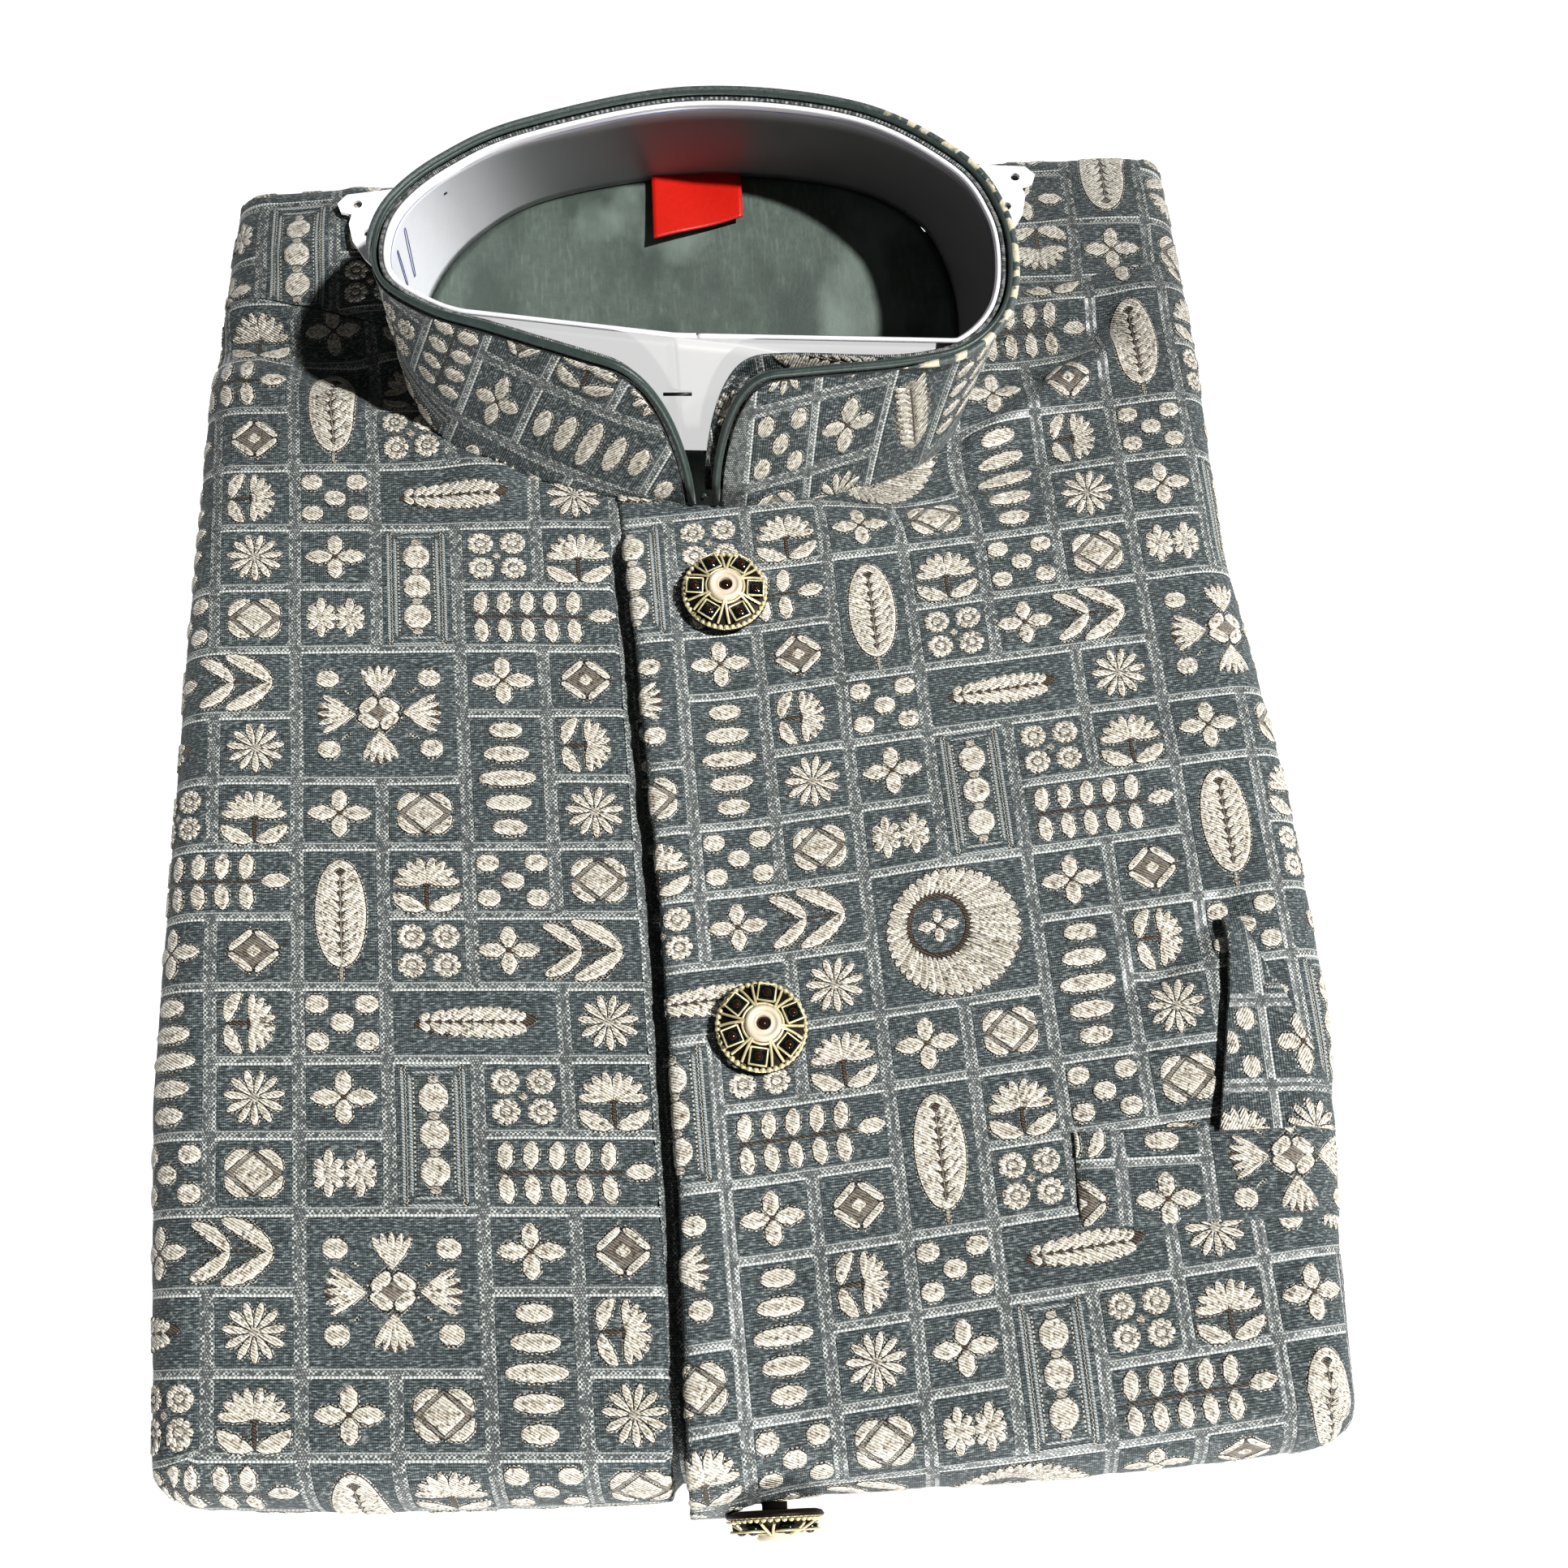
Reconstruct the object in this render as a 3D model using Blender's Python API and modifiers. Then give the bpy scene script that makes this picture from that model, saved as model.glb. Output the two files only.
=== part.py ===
"""A jacket kurta folded for the shelf, fronts upwards, its stand collar held open by a white band.

Lengths are in metres. Places are measured from the middle of the chest: x to the right as it is seen,
y towards the collar and z up from the shelf. make_mesh moves them to the middle of the part's box.
"""

import math

import bmesh
import bpy

PART = "folded_jacket_kurta"

# Cloth and the room between pieces
WALL = 0.0016
GAP = 0.0003
CORE_DEPTH = WALL + 0.0009

# The folded body
NEAR_Y = -0.1625
FAR_Y = 0.1870
TOP = 0.0275
CROWN = 0.0012
FOLD_REACH = 0.0140
FAR_REACH = 0.0090
LEAF_HEIGHT = 0.0120
CORNER_POWER = 0.55
HALF_WIDTHS = (
    # y, half width
    (-0.1650, 0.1315),
    (-0.0700, 0.1375),
    (0.0400, 0.1365),
    (0.1200, 0.1345),
    (0.1900, 0.1285),
)

# The part's origin is the middle of its box, whose near side is the third button's face
BOX_MIDDLE_Y = 0.0078

# The fold round an edge, from the flat top to the lip that is tucked in below
FOLD = (
    # share of the fold's reach, share of its height
    (0.40, 0.965),
    (0.74, 0.820),
    (0.94, 0.600),
    (1.00, 0.380),
    (0.93, 0.130),
    (0.72, 0.000),
    (0.42, 0.000),
)

# The hidden layers' edge, under the fold and then in two leaves that show below it at the sides
CORE_FOLD = (
    # share of the fold's reach, share of its height
    (0.40, 0.965),
    (0.74, 0.820),
    (0.97, 0.450),
    (0.74, 0.000),
    (0.37, 0.000),
)
CORE_INNER = 0.37
CORE_LEAVES = (
    # share of the fold's reach at the sides, share of the leaves' height
    (0.37, 1.00),
    (0.78, 1.00),
    (0.93, 0.76),
    (0.60, 0.52),
    (0.93, 0.26),
    (0.76, 0.00),
)
LEAF_LEAST = 0.0003
CORE_CREASE_ROOM = 0.0045
CORE_CORNER_ROOM = 0.0027
CORE_CORNER_PULL = 0.55
CORE_DIP_ROOM = 0.0008
LIFT_FADE_RISE = 0.45
SEAM_ROOM = 0.0004

# Soft ridges and troughs in the cloth
CREASES = (
    # x from, y from, x to, y to, half width, height
    (-0.0560, 0.0890, -0.0960, 0.1130, 0.0060, 0.0026),
    (-0.0960, 0.1130, -0.1220, 0.1260, 0.0060, 0.0016),
    (-0.0860, 0.1180, -0.1180, 0.1360, 0.0080, -0.0060),
    (0.0690, 0.0960, 0.1040, 0.1190, 0.0050, 0.0022),
    (0.0760, 0.1140, 0.1060, 0.1290, 0.0065, -0.0042),
    (0.0800, 0.1310, 0.1180, 0.1370, 0.0055, 0.0014),
    (-0.1120, 0.1600, -0.0960, 0.1750, 0.0060, 0.0018),
    (0.1000, 0.1580, 0.1200, 0.1640, 0.0070, 0.0012),
    (-0.0420, 0.1760, 0.0360, 0.1760, 0.0140, 0.0030),
    (-0.1180, -0.1100, -0.0500, -0.0900, 0.0100, 0.0010),
    (-0.1250, 0.0200, -0.0700, 0.0000, 0.0090, -0.0010),
    (0.0500, -0.0200, 0.1150, 0.0050, 0.0110, 0.0010),
    (0.1180, -0.0360, 0.0980, -0.0520, 0.0040, -0.0020),
)

# The overlapping front's turned edge, and the recess beside it
PLACKET_EDGE = (
    # y, x
    (-0.1700, -0.0137),
    (-0.1000, -0.0137),
    (-0.0270, -0.0162),
    (0.0450, -0.0207),
    (0.0850, -0.0245),
)
UNDERLAP = 0.0120
RECESS = 0.0046
RECESS_ROLL = 0.0026
PLACKET_LIFT = 0.0032
PLACKET_DIP = 0.0030
SLIT_TOP_Y = 0.0640
SLIT_FADE = 0.0060
LIFT_FADE = 0.0150
DIP_FADE = 0.0040
CLOSED_LIFT = 0.0010
CLOSED_DIP = 0.0018
CLOSED_RECESS = 0.0012
FRONT_MID_Y = 0.0600
ROW_STEP = 0.0100

# Columns beside the turned edge, as places from it
RECESS_COLUMNS = (-0.0100, -0.0060, -0.0046, -0.0032, -0.0018, -0.0004, 0.0010, 0.0060, UNDERLAP)
PLACKET_COLUMNS = (0.0, 0.0040, 0.0080, 0.0120, 0.0180)
CORE_COLUMNS = (-0.0056, -0.0026, 0.0131, 0.0170)
CORE_MID_Y = 0.0850

# Where the fronts meet the back, over the shoulders
SHOULDER_SEAMS = (
    # x, y
    (-0.1400, 0.1500),
    (-0.1200, 0.1480),
    (-0.1040, 0.1440),
    (-0.0880, 0.1375),
    (-0.0700, 0.1350),
    (0.0700, 0.1370),
    (0.0860, 0.1395),
    (0.1020, 0.1420),
    (0.1130, 0.1460),
    (0.1400, 0.1470),
)

# The collar, from the opening at the front, round by the wearer's left
COLLAR = (
    # seam x, seam y, rim x, rim y
    (-0.0030, 0.0770, -0.0030, 0.0915),
    (0.0140, 0.0775, 0.0130, 0.0912),
    (0.0300, 0.0793, 0.0290, 0.0920),
    (0.0460, 0.0830, 0.0480, 0.0932),
    (0.0585, 0.0900, 0.0630, 0.0965),
    (0.0670, 0.1040, 0.0730, 0.1060),
    (0.0715, 0.1240, 0.0768, 0.1200),
    (0.0700, 0.1450, 0.0755, 0.1370),
    (0.0600, 0.1640, 0.0660, 0.1540),
    (0.0370, 0.1765, 0.0400, 0.1712),
    (-0.0020, 0.1815, -0.0020, 0.1778),
    (-0.0420, 0.1760, -0.0440, 0.1700),
    (-0.0640, 0.1640, -0.0650, 0.1600),
    (-0.0770, 0.1480, -0.0780, 0.1480),
    (-0.0810, 0.1310, -0.0825, 0.1350),
    (-0.0785, 0.1140, -0.0800, 0.1230),
    (-0.0690, 0.0985, -0.0680, 0.1140),
    (-0.0545, 0.0908, -0.0540, 0.1085),
    (-0.0390, 0.0850, -0.0380, 0.1020),
    (-0.0210, 0.0797, -0.0210, 0.0955),
)
SEAM_Z = 0.0295
BACK_SEAM_RISE = 0.0015
BACK_SEAM_REACH = 0.0400
RIM_Z = 0.0660
SKIRT = 0.0022
LEAST_RISE = 0.0020
OPENING = 0.0074
END_ROUNDING = 0.0240
END_POWERS = (2.6, 0.6)
END_STEPS = (0.0, 0.0005, 0.0013, 0.0026, 0.0046, 0.0076, 0.0118, 0.0175, 0.0240)
RING_STEPS = 34
RING_FREE = 0.0340
PIPING_RADIUS = 0.0009
PIPING_ROOM = PIPING_RADIUS + GAP
PIPING_INSET = 0.0007
END_ROOM = 0.0008

FACING_WALL = 0.0012
FACING_INSET = WALL + GAP
FACING_OFF = 0.0040
FACING_OFF_END = 0.0700
FACING_LEAD = 0.0036

BAND_WALL = 0.0014
BAND_ROOM = 0.0004
BAND_RIM_Z = 0.0655
BAND_LEAST_FOOT = 0.0240
BAND_CHORD = (
    # rim x, rim y, foot y
    (-0.0650, 0.1150, 0.1080),
    (-0.0080, 0.1045, 0.0960),
    (0.0600, 0.0995, 0.0930),
)

# The cloth seen down the neck
NECK_CENTRE = (-0.0040, 0.1320)
LINING_BACK = (0.1800, 0.0312)
LINING_FRONT = (0.0800, 0.0170)
LINING_WALL = 0.0012
LINING_INSET = 0.0038
NECK_CUTTER_FOOT = 0.0205
NECK_CUTTER_TOP = 0.0600
NECK_CUTTER_STEPS = 18
LINING_STEPS = 10

# The blank label at the back of the neck
LABEL_X = (-0.0135, 0.0108)
LABEL_TOP_Y = 0.1746
LABEL_FOOT_Y = (0.1560, 0.1640)
LABEL_WALL = 0.0010
LABEL_WAVE = 0.0012

# The support's shaped plate, half its outline, mirrored about the collar's middle
PLATE_MIDDLE_X = -0.0040
PLATE_WALL = 0.0010
PLATE_Z = 0.0313
PLATE_OUTLINE = (
    # x from the middle, y
    (0.0000, 0.1842),
    (0.0450, 0.1820),
    (0.0700, 0.1790),
    (0.0830, 0.1778),
    (0.0930, 0.1768),
    (0.0955, 0.1740),
    (0.0945, 0.1712),
    (0.0915, 0.1702),
    (0.0922, 0.1672),
    (0.0910, 0.1615),
    (0.0875, 0.1556),
    (0.0825, 0.1500),
    (0.0790, 0.1478),
    (0.0745, 0.1560),
    (0.0670, 0.1665),
    (0.0420, 0.1786),
    (0.0000, 0.1824),
)
PLATE_HOLES = (
    # x from the middle, y, radius
    (0.0900, 0.1735, 0.0013),
    (0.0868, 0.1640, 0.0013),
)

# The fold's rows from the top to its outermost line
UPPER_LEVELS = 4

# The chest pocket
WELT_X = (0.0748, 0.1340)
WELT_Y = (-0.1100, -0.0885)
WELT_WALL = 0.0018
WELT_SLANT = 0.02
WELT_TURN = 0.80
SQUARE_ROWS = (
    # y, left x, right x
    (-0.0880, 0.1090, 0.1345),
    (-0.0800, 0.1104, 0.1338),
    (-0.0690, 0.1125, 0.1305),
    (-0.0590, 0.1145, 0.1275),
    (-0.0490, 0.1160, 0.1230),
    (-0.0400, 0.1170, 0.1200),
)
PATCH_ROOM = 0.0005
SQUARE_WALL = 0.0014
SQUARE_LIFT = 0.0018

# The buttons
BUTTON_RADIUS = 0.0111
BUTTONS = (
    # name, x, y
    ("button_1", 0.0011, 0.0505),
    ("button_2", 0.0050, -0.0613),
)
NEAR_BUTTON = ("button_3", 0.0033)
NEAR_BUTTON_ON_FOLD = (1.0, 0.50)
BUTTON_PROFILE = (
    # radius, height above the cloth
    (0.0, 0.0080),
    (0.0032, 0.0078),
    (0.0066, 0.0068),
    (0.0094, 0.0050),
    (0.0100, 0.0046),
    (0.0111, 0.0042),
    (0.0111, 0.0026),
    (0.0096, 0.0020),
    (0.0028, 0.0020),
    (0.0028, 0.0004),
    (0.0, 0.0004),
)
BUTTON_SIDES = 20

HOOK_POINTS = (
    # x, y, z
    (-0.0034, 0.0790, 0.0292),
    (-0.0034, 0.0784, 0.0316),
    (-0.0026, 0.0782, 0.0328),
    (-0.0018, 0.0784, 0.0316),
)
HOOK_RADIUS = 0.0004

COLOURS = {
    # material: colour, roughness, metallic
    "brocade": ((0.11, 0.15, 0.17), 0.55, 0.0),
    "hidden_layers": ((0.10, 0.13, 0.14), 0.80, 0.0),
    "piping_cloth": ((0.08, 0.12, 0.11), 0.45, 0.0),
    "lining_cloth": ((0.13, 0.17, 0.14), 0.60, 0.0),
    "label_cloth": ((0.60, 0.03, 0.02), 0.50, 0.0),
    "white_card": ((0.83, 0.83, 0.85), 0.35, 0.0),
    "gold": ((0.58, 0.41, 0.13), 0.32, 1.0),
    "steel": ((0.60, 0.60, 0.60), 0.30, 1.0),
}


def clear_scene():
    for item in list(bpy.data.objects):
        bpy.data.objects.remove(item, do_unlink=True)


def new_collection(name):
    made = bpy.data.collections.new(name)
    bpy.context.scene.collection.children.link(made)
    return made


def material(name):
    colour, roughness, metallic = COLOURS[name]
    made = bpy.data.materials.get(name) or bpy.data.materials.new(name)
    made.use_nodes = True
    shader = made.node_tree.nodes["Principled BSDF"]
    shader.inputs["Base Color"].default_value = (*colour, 1.0)
    shader.inputs["Roughness"].default_value = roughness
    shader.inputs["Metallic"].default_value = metallic
    made.diffuse_color = (*colour, 1.0)
    return made


def smooth(share):
    """From 0 to 1 with level ends."""
    share = min(max(share, 0.0), 1.0)
    return share * share * (3.0 - 2.0 * share)


def mix(low, high, share):
    return low + (high - low) * share


def read_table(table, key, column=1):
    """The column's value at key, straight between the table's rows."""
    if key <= table[0][0]:
        return table[0][column]
    for row, after in zip(table, table[1:]):
        if key <= after[0]:
            return mix(row[column], after[column], (key - row[0]) / (after[0] - row[0]))
    return table[-1][column]


def spline(points, place):
    """The closed smooth curve through the points, at place rows along it."""
    count = len(points)
    index = math.floor(place)
    part = place - index
    before, start, end, after = (points[(index + step) % count] for step in (-1, 0, 1, 2))
    weights = (
        -0.5 * part + part**2 - 0.5 * part**3,
        1.0 - 2.5 * part**2 + 1.5 * part**3,
        0.5 * part + 2.0 * part**2 - 1.5 * part**3,
        -0.5 * part**2 + 0.5 * part**3,
    )
    return tuple(
        sum(weight * point[axis] for weight, point in zip(weights, (before, start, end, after)))
        for axis in range(len(start))
    )


# The folded body's skin


def half_width(y):
    return read_table(HALF_WIDTHS, y)


def flat_edge(y):
    return half_width(y) - FOLD_REACH


def crease_height(x, y):
    total = 0.0
    for x_from, y_from, x_to, y_to, width, height in CREASES:
        run_x, run_y = x_to - x_from, y_to - y_from
        along = ((x - x_from) * run_x + (y - y_from) * run_y) / (run_x**2 + run_y**2)
        near = min(max(along, 0.0), 1.0)
        away = math.hypot(x - x_from - near * run_x, y - y_from - near * run_y)
        total += height * math.exp(-((away / width) ** 2))
    return total


def crease_share(x, y):
    """How near a place is to the troughs, where the layers below lie lower too."""
    nearest = 0.0
    for x_from, y_from, x_to, y_to, width, height in CREASES:
        if height < 0.0:
            run_x, run_y = x_to - x_from, y_to - y_from
            along = ((x - x_from) * run_x + (y - y_from) * run_y) / (run_x**2 + run_y**2)
            near = min(max(along, 0.0), 1.0)
            away = math.hypot(x - x_from - near * run_x, y - y_from - near * run_y)
            nearest = max(nearest, 1.0 - smooth(away / (4 * width)))
    return nearest


def top_height(x, y):
    across = x / half_width(y)
    along = (y - (NEAR_Y + FAR_Y) / 2) / ((FAR_Y - NEAR_Y) / 2)
    crown = CROWN * max(1.0 - across**2, 0.0) * max(1.0 - along**4, 0.0)
    return TOP + crown + crease_height(x, y)


def corner_reach(heading, end, depth):
    """How far a fold reaches past the flat top: heading is 0 at a side and 90 at an end."""
    turn = math.radians(heading)
    across, along = FOLD_REACH - depth, (FAR_REACH if end > 0 else FOLD_REACH) - depth
    return (
        across * math.cos(turn) ** CORNER_POWER if heading < 90 else 0.0,
        along * math.sin(turn) ** CORNER_POWER if heading > 0 else 0.0,
    )


def leaf_share(heading):
    return smooth(1.0 - heading / 90.0)


def skin(flat_x, flat_y, out, rise, heading, depth):
    """A point of the skin: out and rise are shares of the fold's reach and height, 0 and 1 on the flat."""
    side, end = (1 if flat_x > 0 else -1), (1 if flat_y > 0 else -1)
    high = top_height(flat_x, flat_y)
    low = LEAF_HEIGHT * leaf_share(heading)
    if depth < 0.0:
        depth *= smooth(rise / LIFT_FADE_RISE)
    reach_x, reach_y = corner_reach(heading, end, depth)
    height = mix(low + max(depth, 0.0), high - depth, rise)
    return flat_x + side * reach_x * out, flat_y + end * reach_y * out, height


def heading_of(column_level, row_level):
    """The way the fold faces where a side's level and an end's level cross."""
    if column_level >= row_level:
        return 45.0 * row_level / max(column_level, 1)
    return 90.0 - 45.0 * column_level / row_level


def span(start, stop, steps):
    return [mix(start, stop, step / steps) for step in range(steps + 1)]


def columns_between(start, stop, steps):
    """Columns from one edge to another, each edge a place across for every y."""
    return [
        (lambda y, share=share: mix(start(y), stop(y), share), 0) for share in span(0.0, 1.0, steps)
    ]


def side_columns(side, levels):
    """Columns round the fold at a side, the outermost first."""
    return [(lambda y: side * flat_edge(y), level) for level in range(levels, 0, -1)]


def end_rows(y, levels):
    """Rows round the fold at an end, the outermost first."""
    return [(lambda x: y, level) for level in range(levels, 0, -1)]


def rows_between(start, stop, steps):
    """Rows from one edge to another, each edge a y for every place across."""
    return [
        (lambda x, share=share: mix(start(x), stop(x), share), 0) for share in span(0.0, 1.0, steps)
    ]


def level(value):
    """The same value everywhere."""
    return lambda *place: value


def body_point(column, row, levels, depth_at):
    """The skin's point where a column and a row cross."""
    (x_at, column_level), (y_at, row_level) = column, row
    flat_y = y_at(x_at(0.0))
    flat_x = x_at(flat_y)
    outer = max(column_level, row_level)
    out, rise = levels[outer - 1] if outer else (0.0, 1.0)
    heading = heading_of(column_level, row_level) if outer else 0.0
    return skin(flat_x, flat_y, out, rise, heading, depth_at(flat_x, flat_y))


# Grids made into pieces


def finish_mesh(name, shape, collection, look):
    mesh = bpy.data.meshes.new(name)
    shape.to_mesh(mesh)
    shape.free()
    mesh.materials.append(material(look))
    mesh.shade_smooth()
    made = bpy.data.objects.new(name, mesh)
    collection.objects.link(made)
    return made


def grid_of(columns, rows, place, wrap=False):
    """A grid whose points place(column, row) gives, its faces turned up or out."""
    shape = bmesh.new()
    bmesh.ops.create_grid(shape, x_segments=len(columns) - 1, y_segments=len(rows) - 1, size=1.0)
    ordered = sorted(shape.verts, key=lambda vert: (round(vert.co.y, 5), round(vert.co.x, 5)))
    for index, vert in enumerate(ordered):
        x, y, z = place(columns[index % len(columns)], rows[index // len(columns)])
        vert.co = (x, y - BOX_MIDDLE_Y, z)
    if wrap:
        bmesh.ops.remove_doubles(shape, verts=shape.verts, dist=1e-7)
    return shape


def thicken(target, wall):
    """A wall inwards from the faces' outer side."""
    shell = target.modifiers.new("wall", "SOLIDIFY")
    shell.thickness = wall
    shell.offset = -1.0


def cut(target, cutter):
    hole = target.modifiers.new("cut " + cutter.name, "BOOLEAN")
    hole.operation = "DIFFERENCE"
    hole.solver = "EXACT"
    hole.object = cutter


# The fronts


def edge_at(y):
    return read_table(PLACKET_EDGE, y)


def beside_edge(offset):
    return lambda y: edge_at(y) + offset


def edge_columns(offsets):
    return [(beside_edge(offset), 0) for offset in offsets]


def closed_share(y):
    """0 along the open slit and 1 above it, where the fronts are sewn together."""
    return smooth((y - SLIT_TOP_Y) / SLIT_FADE)


def placket_lift(x, y):
    past = max(x - edge_at(y), 0.0)
    lift = mix(PLACKET_LIFT, CLOSED_LIFT, closed_share(y))
    return -lift * math.exp(-((past / LIFT_FADE) ** 2))


def placket_dip(x, y):
    """The recess that holds the underlap."""
    closed = closed_share(y)
    start = edge_at(y) - mix(RECESS, CLOSED_RECESS, closed)
    into = smooth((x - start) / RECESS_ROLL)
    out = smooth((x - edge_at(y) - UNDERLAP - GAP) / DIP_FADE)
    return mix(PLACKET_DIP, CLOSED_DIP, closed) * into * (1.0 - out)


def shoulder_seam(x):
    return read_table(SHOULDER_SEAMS, x)


def front_rows():
    near = NEAR_Y + FOLD_REACH
    return (
        end_rows(near, len(FOLD))
        + rows_between(level(near), level(FRONT_MID_Y), 10)
        + rows_between(level(FRONT_MID_Y + ROW_STEP), lambda x: shoulder_seam(x) - SEAM_ROOM, 8)
    )


def make_front_right(collection, neck):
    """Seen on the left: round the side, and in under the other front's edge."""
    columns = (
        side_columns(-1, len(FOLD))
        + columns_between(lambda y: -flat_edge(y), beside_edge(RECESS_COLUMNS[0]), 11)
        + edge_columns(RECESS_COLUMNS[1:])
    )
    rows = front_rows()
    shape = grid_of(columns, rows, lambda *cross: body_point(*cross, FOLD, placket_dip))
    made = finish_mesh("front_right", shape, collection, "brocade")
    thicken(made, WALL)
    cut(made, neck)


def make_front_left(collection, neck):
    """Seen on the right: from its turned edge round the other side."""
    columns = edge_columns(PLACKET_COLUMNS[:-1])
    columns += columns_between(beside_edge(PLACKET_COLUMNS[-1]), flat_edge, 12)
    columns += reversed(side_columns(1, len(FOLD)))
    rows = front_rows()
    shape = grid_of(columns, rows, lambda *cross: body_point(*cross, FOLD, placket_lift))
    made = finish_mesh("front_left", shape, collection, "brocade")
    thicken(made, WALL)
    cut(made, neck)


def make_back(collection, neck):
    """Over both shoulders, round behind the collar and in underneath."""
    far = FAR_Y - FAR_REACH
    columns = (
        side_columns(-1, len(FOLD))
        + columns_between(lambda y: -flat_edge(y), flat_edge, 20)
        + list(reversed(side_columns(1, len(FOLD))))
    )
    rows = rows_between(lambda x: shoulder_seam(x) + SEAM_ROOM, level(far), 4)
    rows += reversed(end_rows(far, len(FOLD)))
    shape = grid_of(columns, rows, lambda *cross: body_point(*cross, FOLD, lambda x, y: 0.0))
    made = finish_mesh("back_panel", shape, collection, "brocade")
    thicken(made, WALL)
    cut(made, neck)


def core_depth(x, y):
    dip = max(placket_dip(x + CORE_DIP_ROOM, y), placket_dip(x - CORE_DIP_ROOM, y))
    ridge = max(crease_height(x, y), 0.0)
    return CORE_DEPTH + dip + ridge + CORE_CREASE_ROOM * crease_share(x, y)


def core_point(column, row):
    """The hidden layers: under the panels, then out in leaves at the sides, then flat below."""
    (x_at, column_level), (y_at, row_level) = column, row
    outer = max(column_level, row_level)
    if not outer:
        return body_point(column, row, CORE_FOLD, core_depth)
    heading = heading_of(column_level, row_level)
    share = leaf_share(heading)
    corner = 4.0 * share * (1.0 - share)
    flat_y = y_at(x_at(0.0))
    flat_x = x_at(flat_y)
    if outer <= len(CORE_FOLD):
        x, y, z = body_point(column, row, CORE_FOLD, core_depth)
        low = corner * (1.0 - CORE_FOLD[outer - 1][1])
        pull = 1.0 - CORE_CORNER_PULL * low
        return mix(flat_x, x, pull), mix(flat_y, y, pull), z + CORE_CORNER_ROOM * low
    side, end = (1 if flat_x > 0 else -1), (1 if flat_y > 0 else -1)
    at_side, rise = CORE_LEAVES[outer - len(CORE_FOLD) - 1]
    out = mix(CORE_INNER * (1.0 - CORE_CORNER_PULL * corner), at_side, share**2)
    height = rise * max(LEAF_HEIGHT * share - GAP - CORE_CORNER_ROOM * corner, LEAF_LEAST)
    reach_x, reach_y = corner_reach(heading, end, CORE_DEPTH)
    return flat_x + side * reach_x * out, flat_y + end * reach_y * out, height


def make_core(collection, hollow):
    levels = len(CORE_FOLD) + len(CORE_LEAVES)
    columns = (
        side_columns(-1, levels)
        + columns_between(lambda y: -flat_edge(y), beside_edge(CORE_COLUMNS[0]), 7)
        + edge_columns(CORE_COLUMNS[1:-1])
        + columns_between(beside_edge(CORE_COLUMNS[-1]), flat_edge, 7)
        + list(reversed(side_columns(1, levels)))
    )
    near, far = NEAR_Y + FOLD_REACH, FAR_Y - FAR_REACH
    rows = (
        end_rows(near, levels)
        + rows_between(level(near), level(CORE_MID_Y), 8)
        + rows_between(level(CORE_MID_Y + ROW_STEP), level(far), 6)
        + list(reversed(end_rows(far, levels)))
    )
    shape = grid_of(columns, rows, core_point)
    bmesh.ops.holes_fill(shape, edges=[edge for edge in shape.edges if edge.is_boundary])
    made = finish_mesh("folded_core", shape, collection, "hidden_layers")
    cut(made, hollow)


# The collar


def ring_length():
    points = [spline(COLLAR, len(COLLAR) * step / 200)[:2] for step in range(200)]
    return sum(math.dist(a, b) for a, b in zip(points, points[1:] + points[:1]))


RING_LENGTH = ring_length()


def ring_point(run, rise, inset=0.0):
    """A point of the collar: run is the way round from the opening, rise 0 at the seam and 1 at the rim."""
    rows = len(COLLAR)
    row = run / RING_LENGTH * rows

    def at(place):
        seam_x, seam_y, rim_x, rim_y = spline(COLLAR, place)
        share = max(rise, 0.0)
        return mix(seam_x, rim_x, share), mix(seam_y, rim_y, share)

    (x, y), (next_x, next_y), (last_x, last_y) = at(row), at(row + 0.02), at(row - 0.02)
    along_x, along_y = next_x - last_x, next_y - last_y
    size = math.hypot(along_x, along_y)
    back = smooth((y - NECK_CENTRE[1]) / BACK_SEAM_REACH)
    foot = SEAM_Z + BACK_SEAM_RISE * back
    x -= inset * along_y / size
    y += inset * along_x / size
    return x, y, foot + (RIM_Z - foot) * rise


def end_height(distance):
    """The rounded front end's height for a distance from the opening."""
    if distance >= END_ROUNDING:
        return 1.0
    return (1.0 - (1.0 - distance / END_ROUNDING) ** END_POWERS[0]) ** END_POWERS[1]


def ring_runs(start, stop):
    """Places round the collar, close together at the rounded ends and the same for all its layers."""
    first = RING_FREE
    middle = span(first, RING_LENGTH - first, RING_STEPS)
    return (
        [start + step for step in END_STEPS] + middle + [stop - step for step in reversed(END_STEPS)]
    )


def make_ring_wall(name, start, stop, inset_at, drop, wall, collection, look):
    """A collar layer with two rounded ends; drop keeps its top edge below the piping."""
    runs = ring_runs(start, stop)
    least = (SKIRT + LEAST_RISE) / (RIM_Z - SEAM_Z)

    def place(run, share):
        near_end = min(run - start, stop - run)
        top = max(end_height(max(near_end, 0.0)) - drop / (RIM_Z - SEAM_Z), least)
        foot = -SKIRT / (RIM_Z - SEAM_Z)
        return ring_point(run, mix(foot, top, share), inset_at(run))

    shape = grid_of(runs, span(0.0, 1.0, 3), place)
    made = finish_mesh(name, shape, collection, look)
    thicken(made, wall)


def make_stand(collection):
    start = OPENING / 2 + PIPING_ROOM + END_ROOM
    make_ring_wall(
        "collar_stand", start, RING_LENGTH - start, level(0.0), PIPING_ROOM, WALL, collection, "brocade"
    )


def facing_inset(run):
    """The inner layer stands off the outer one behind the opening's right side."""
    off = 1.0 - smooth((run - END_ROUNDING) / (FACING_OFF_END - END_ROUNDING))
    return FACING_INSET + FACING_OFF * off


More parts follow.
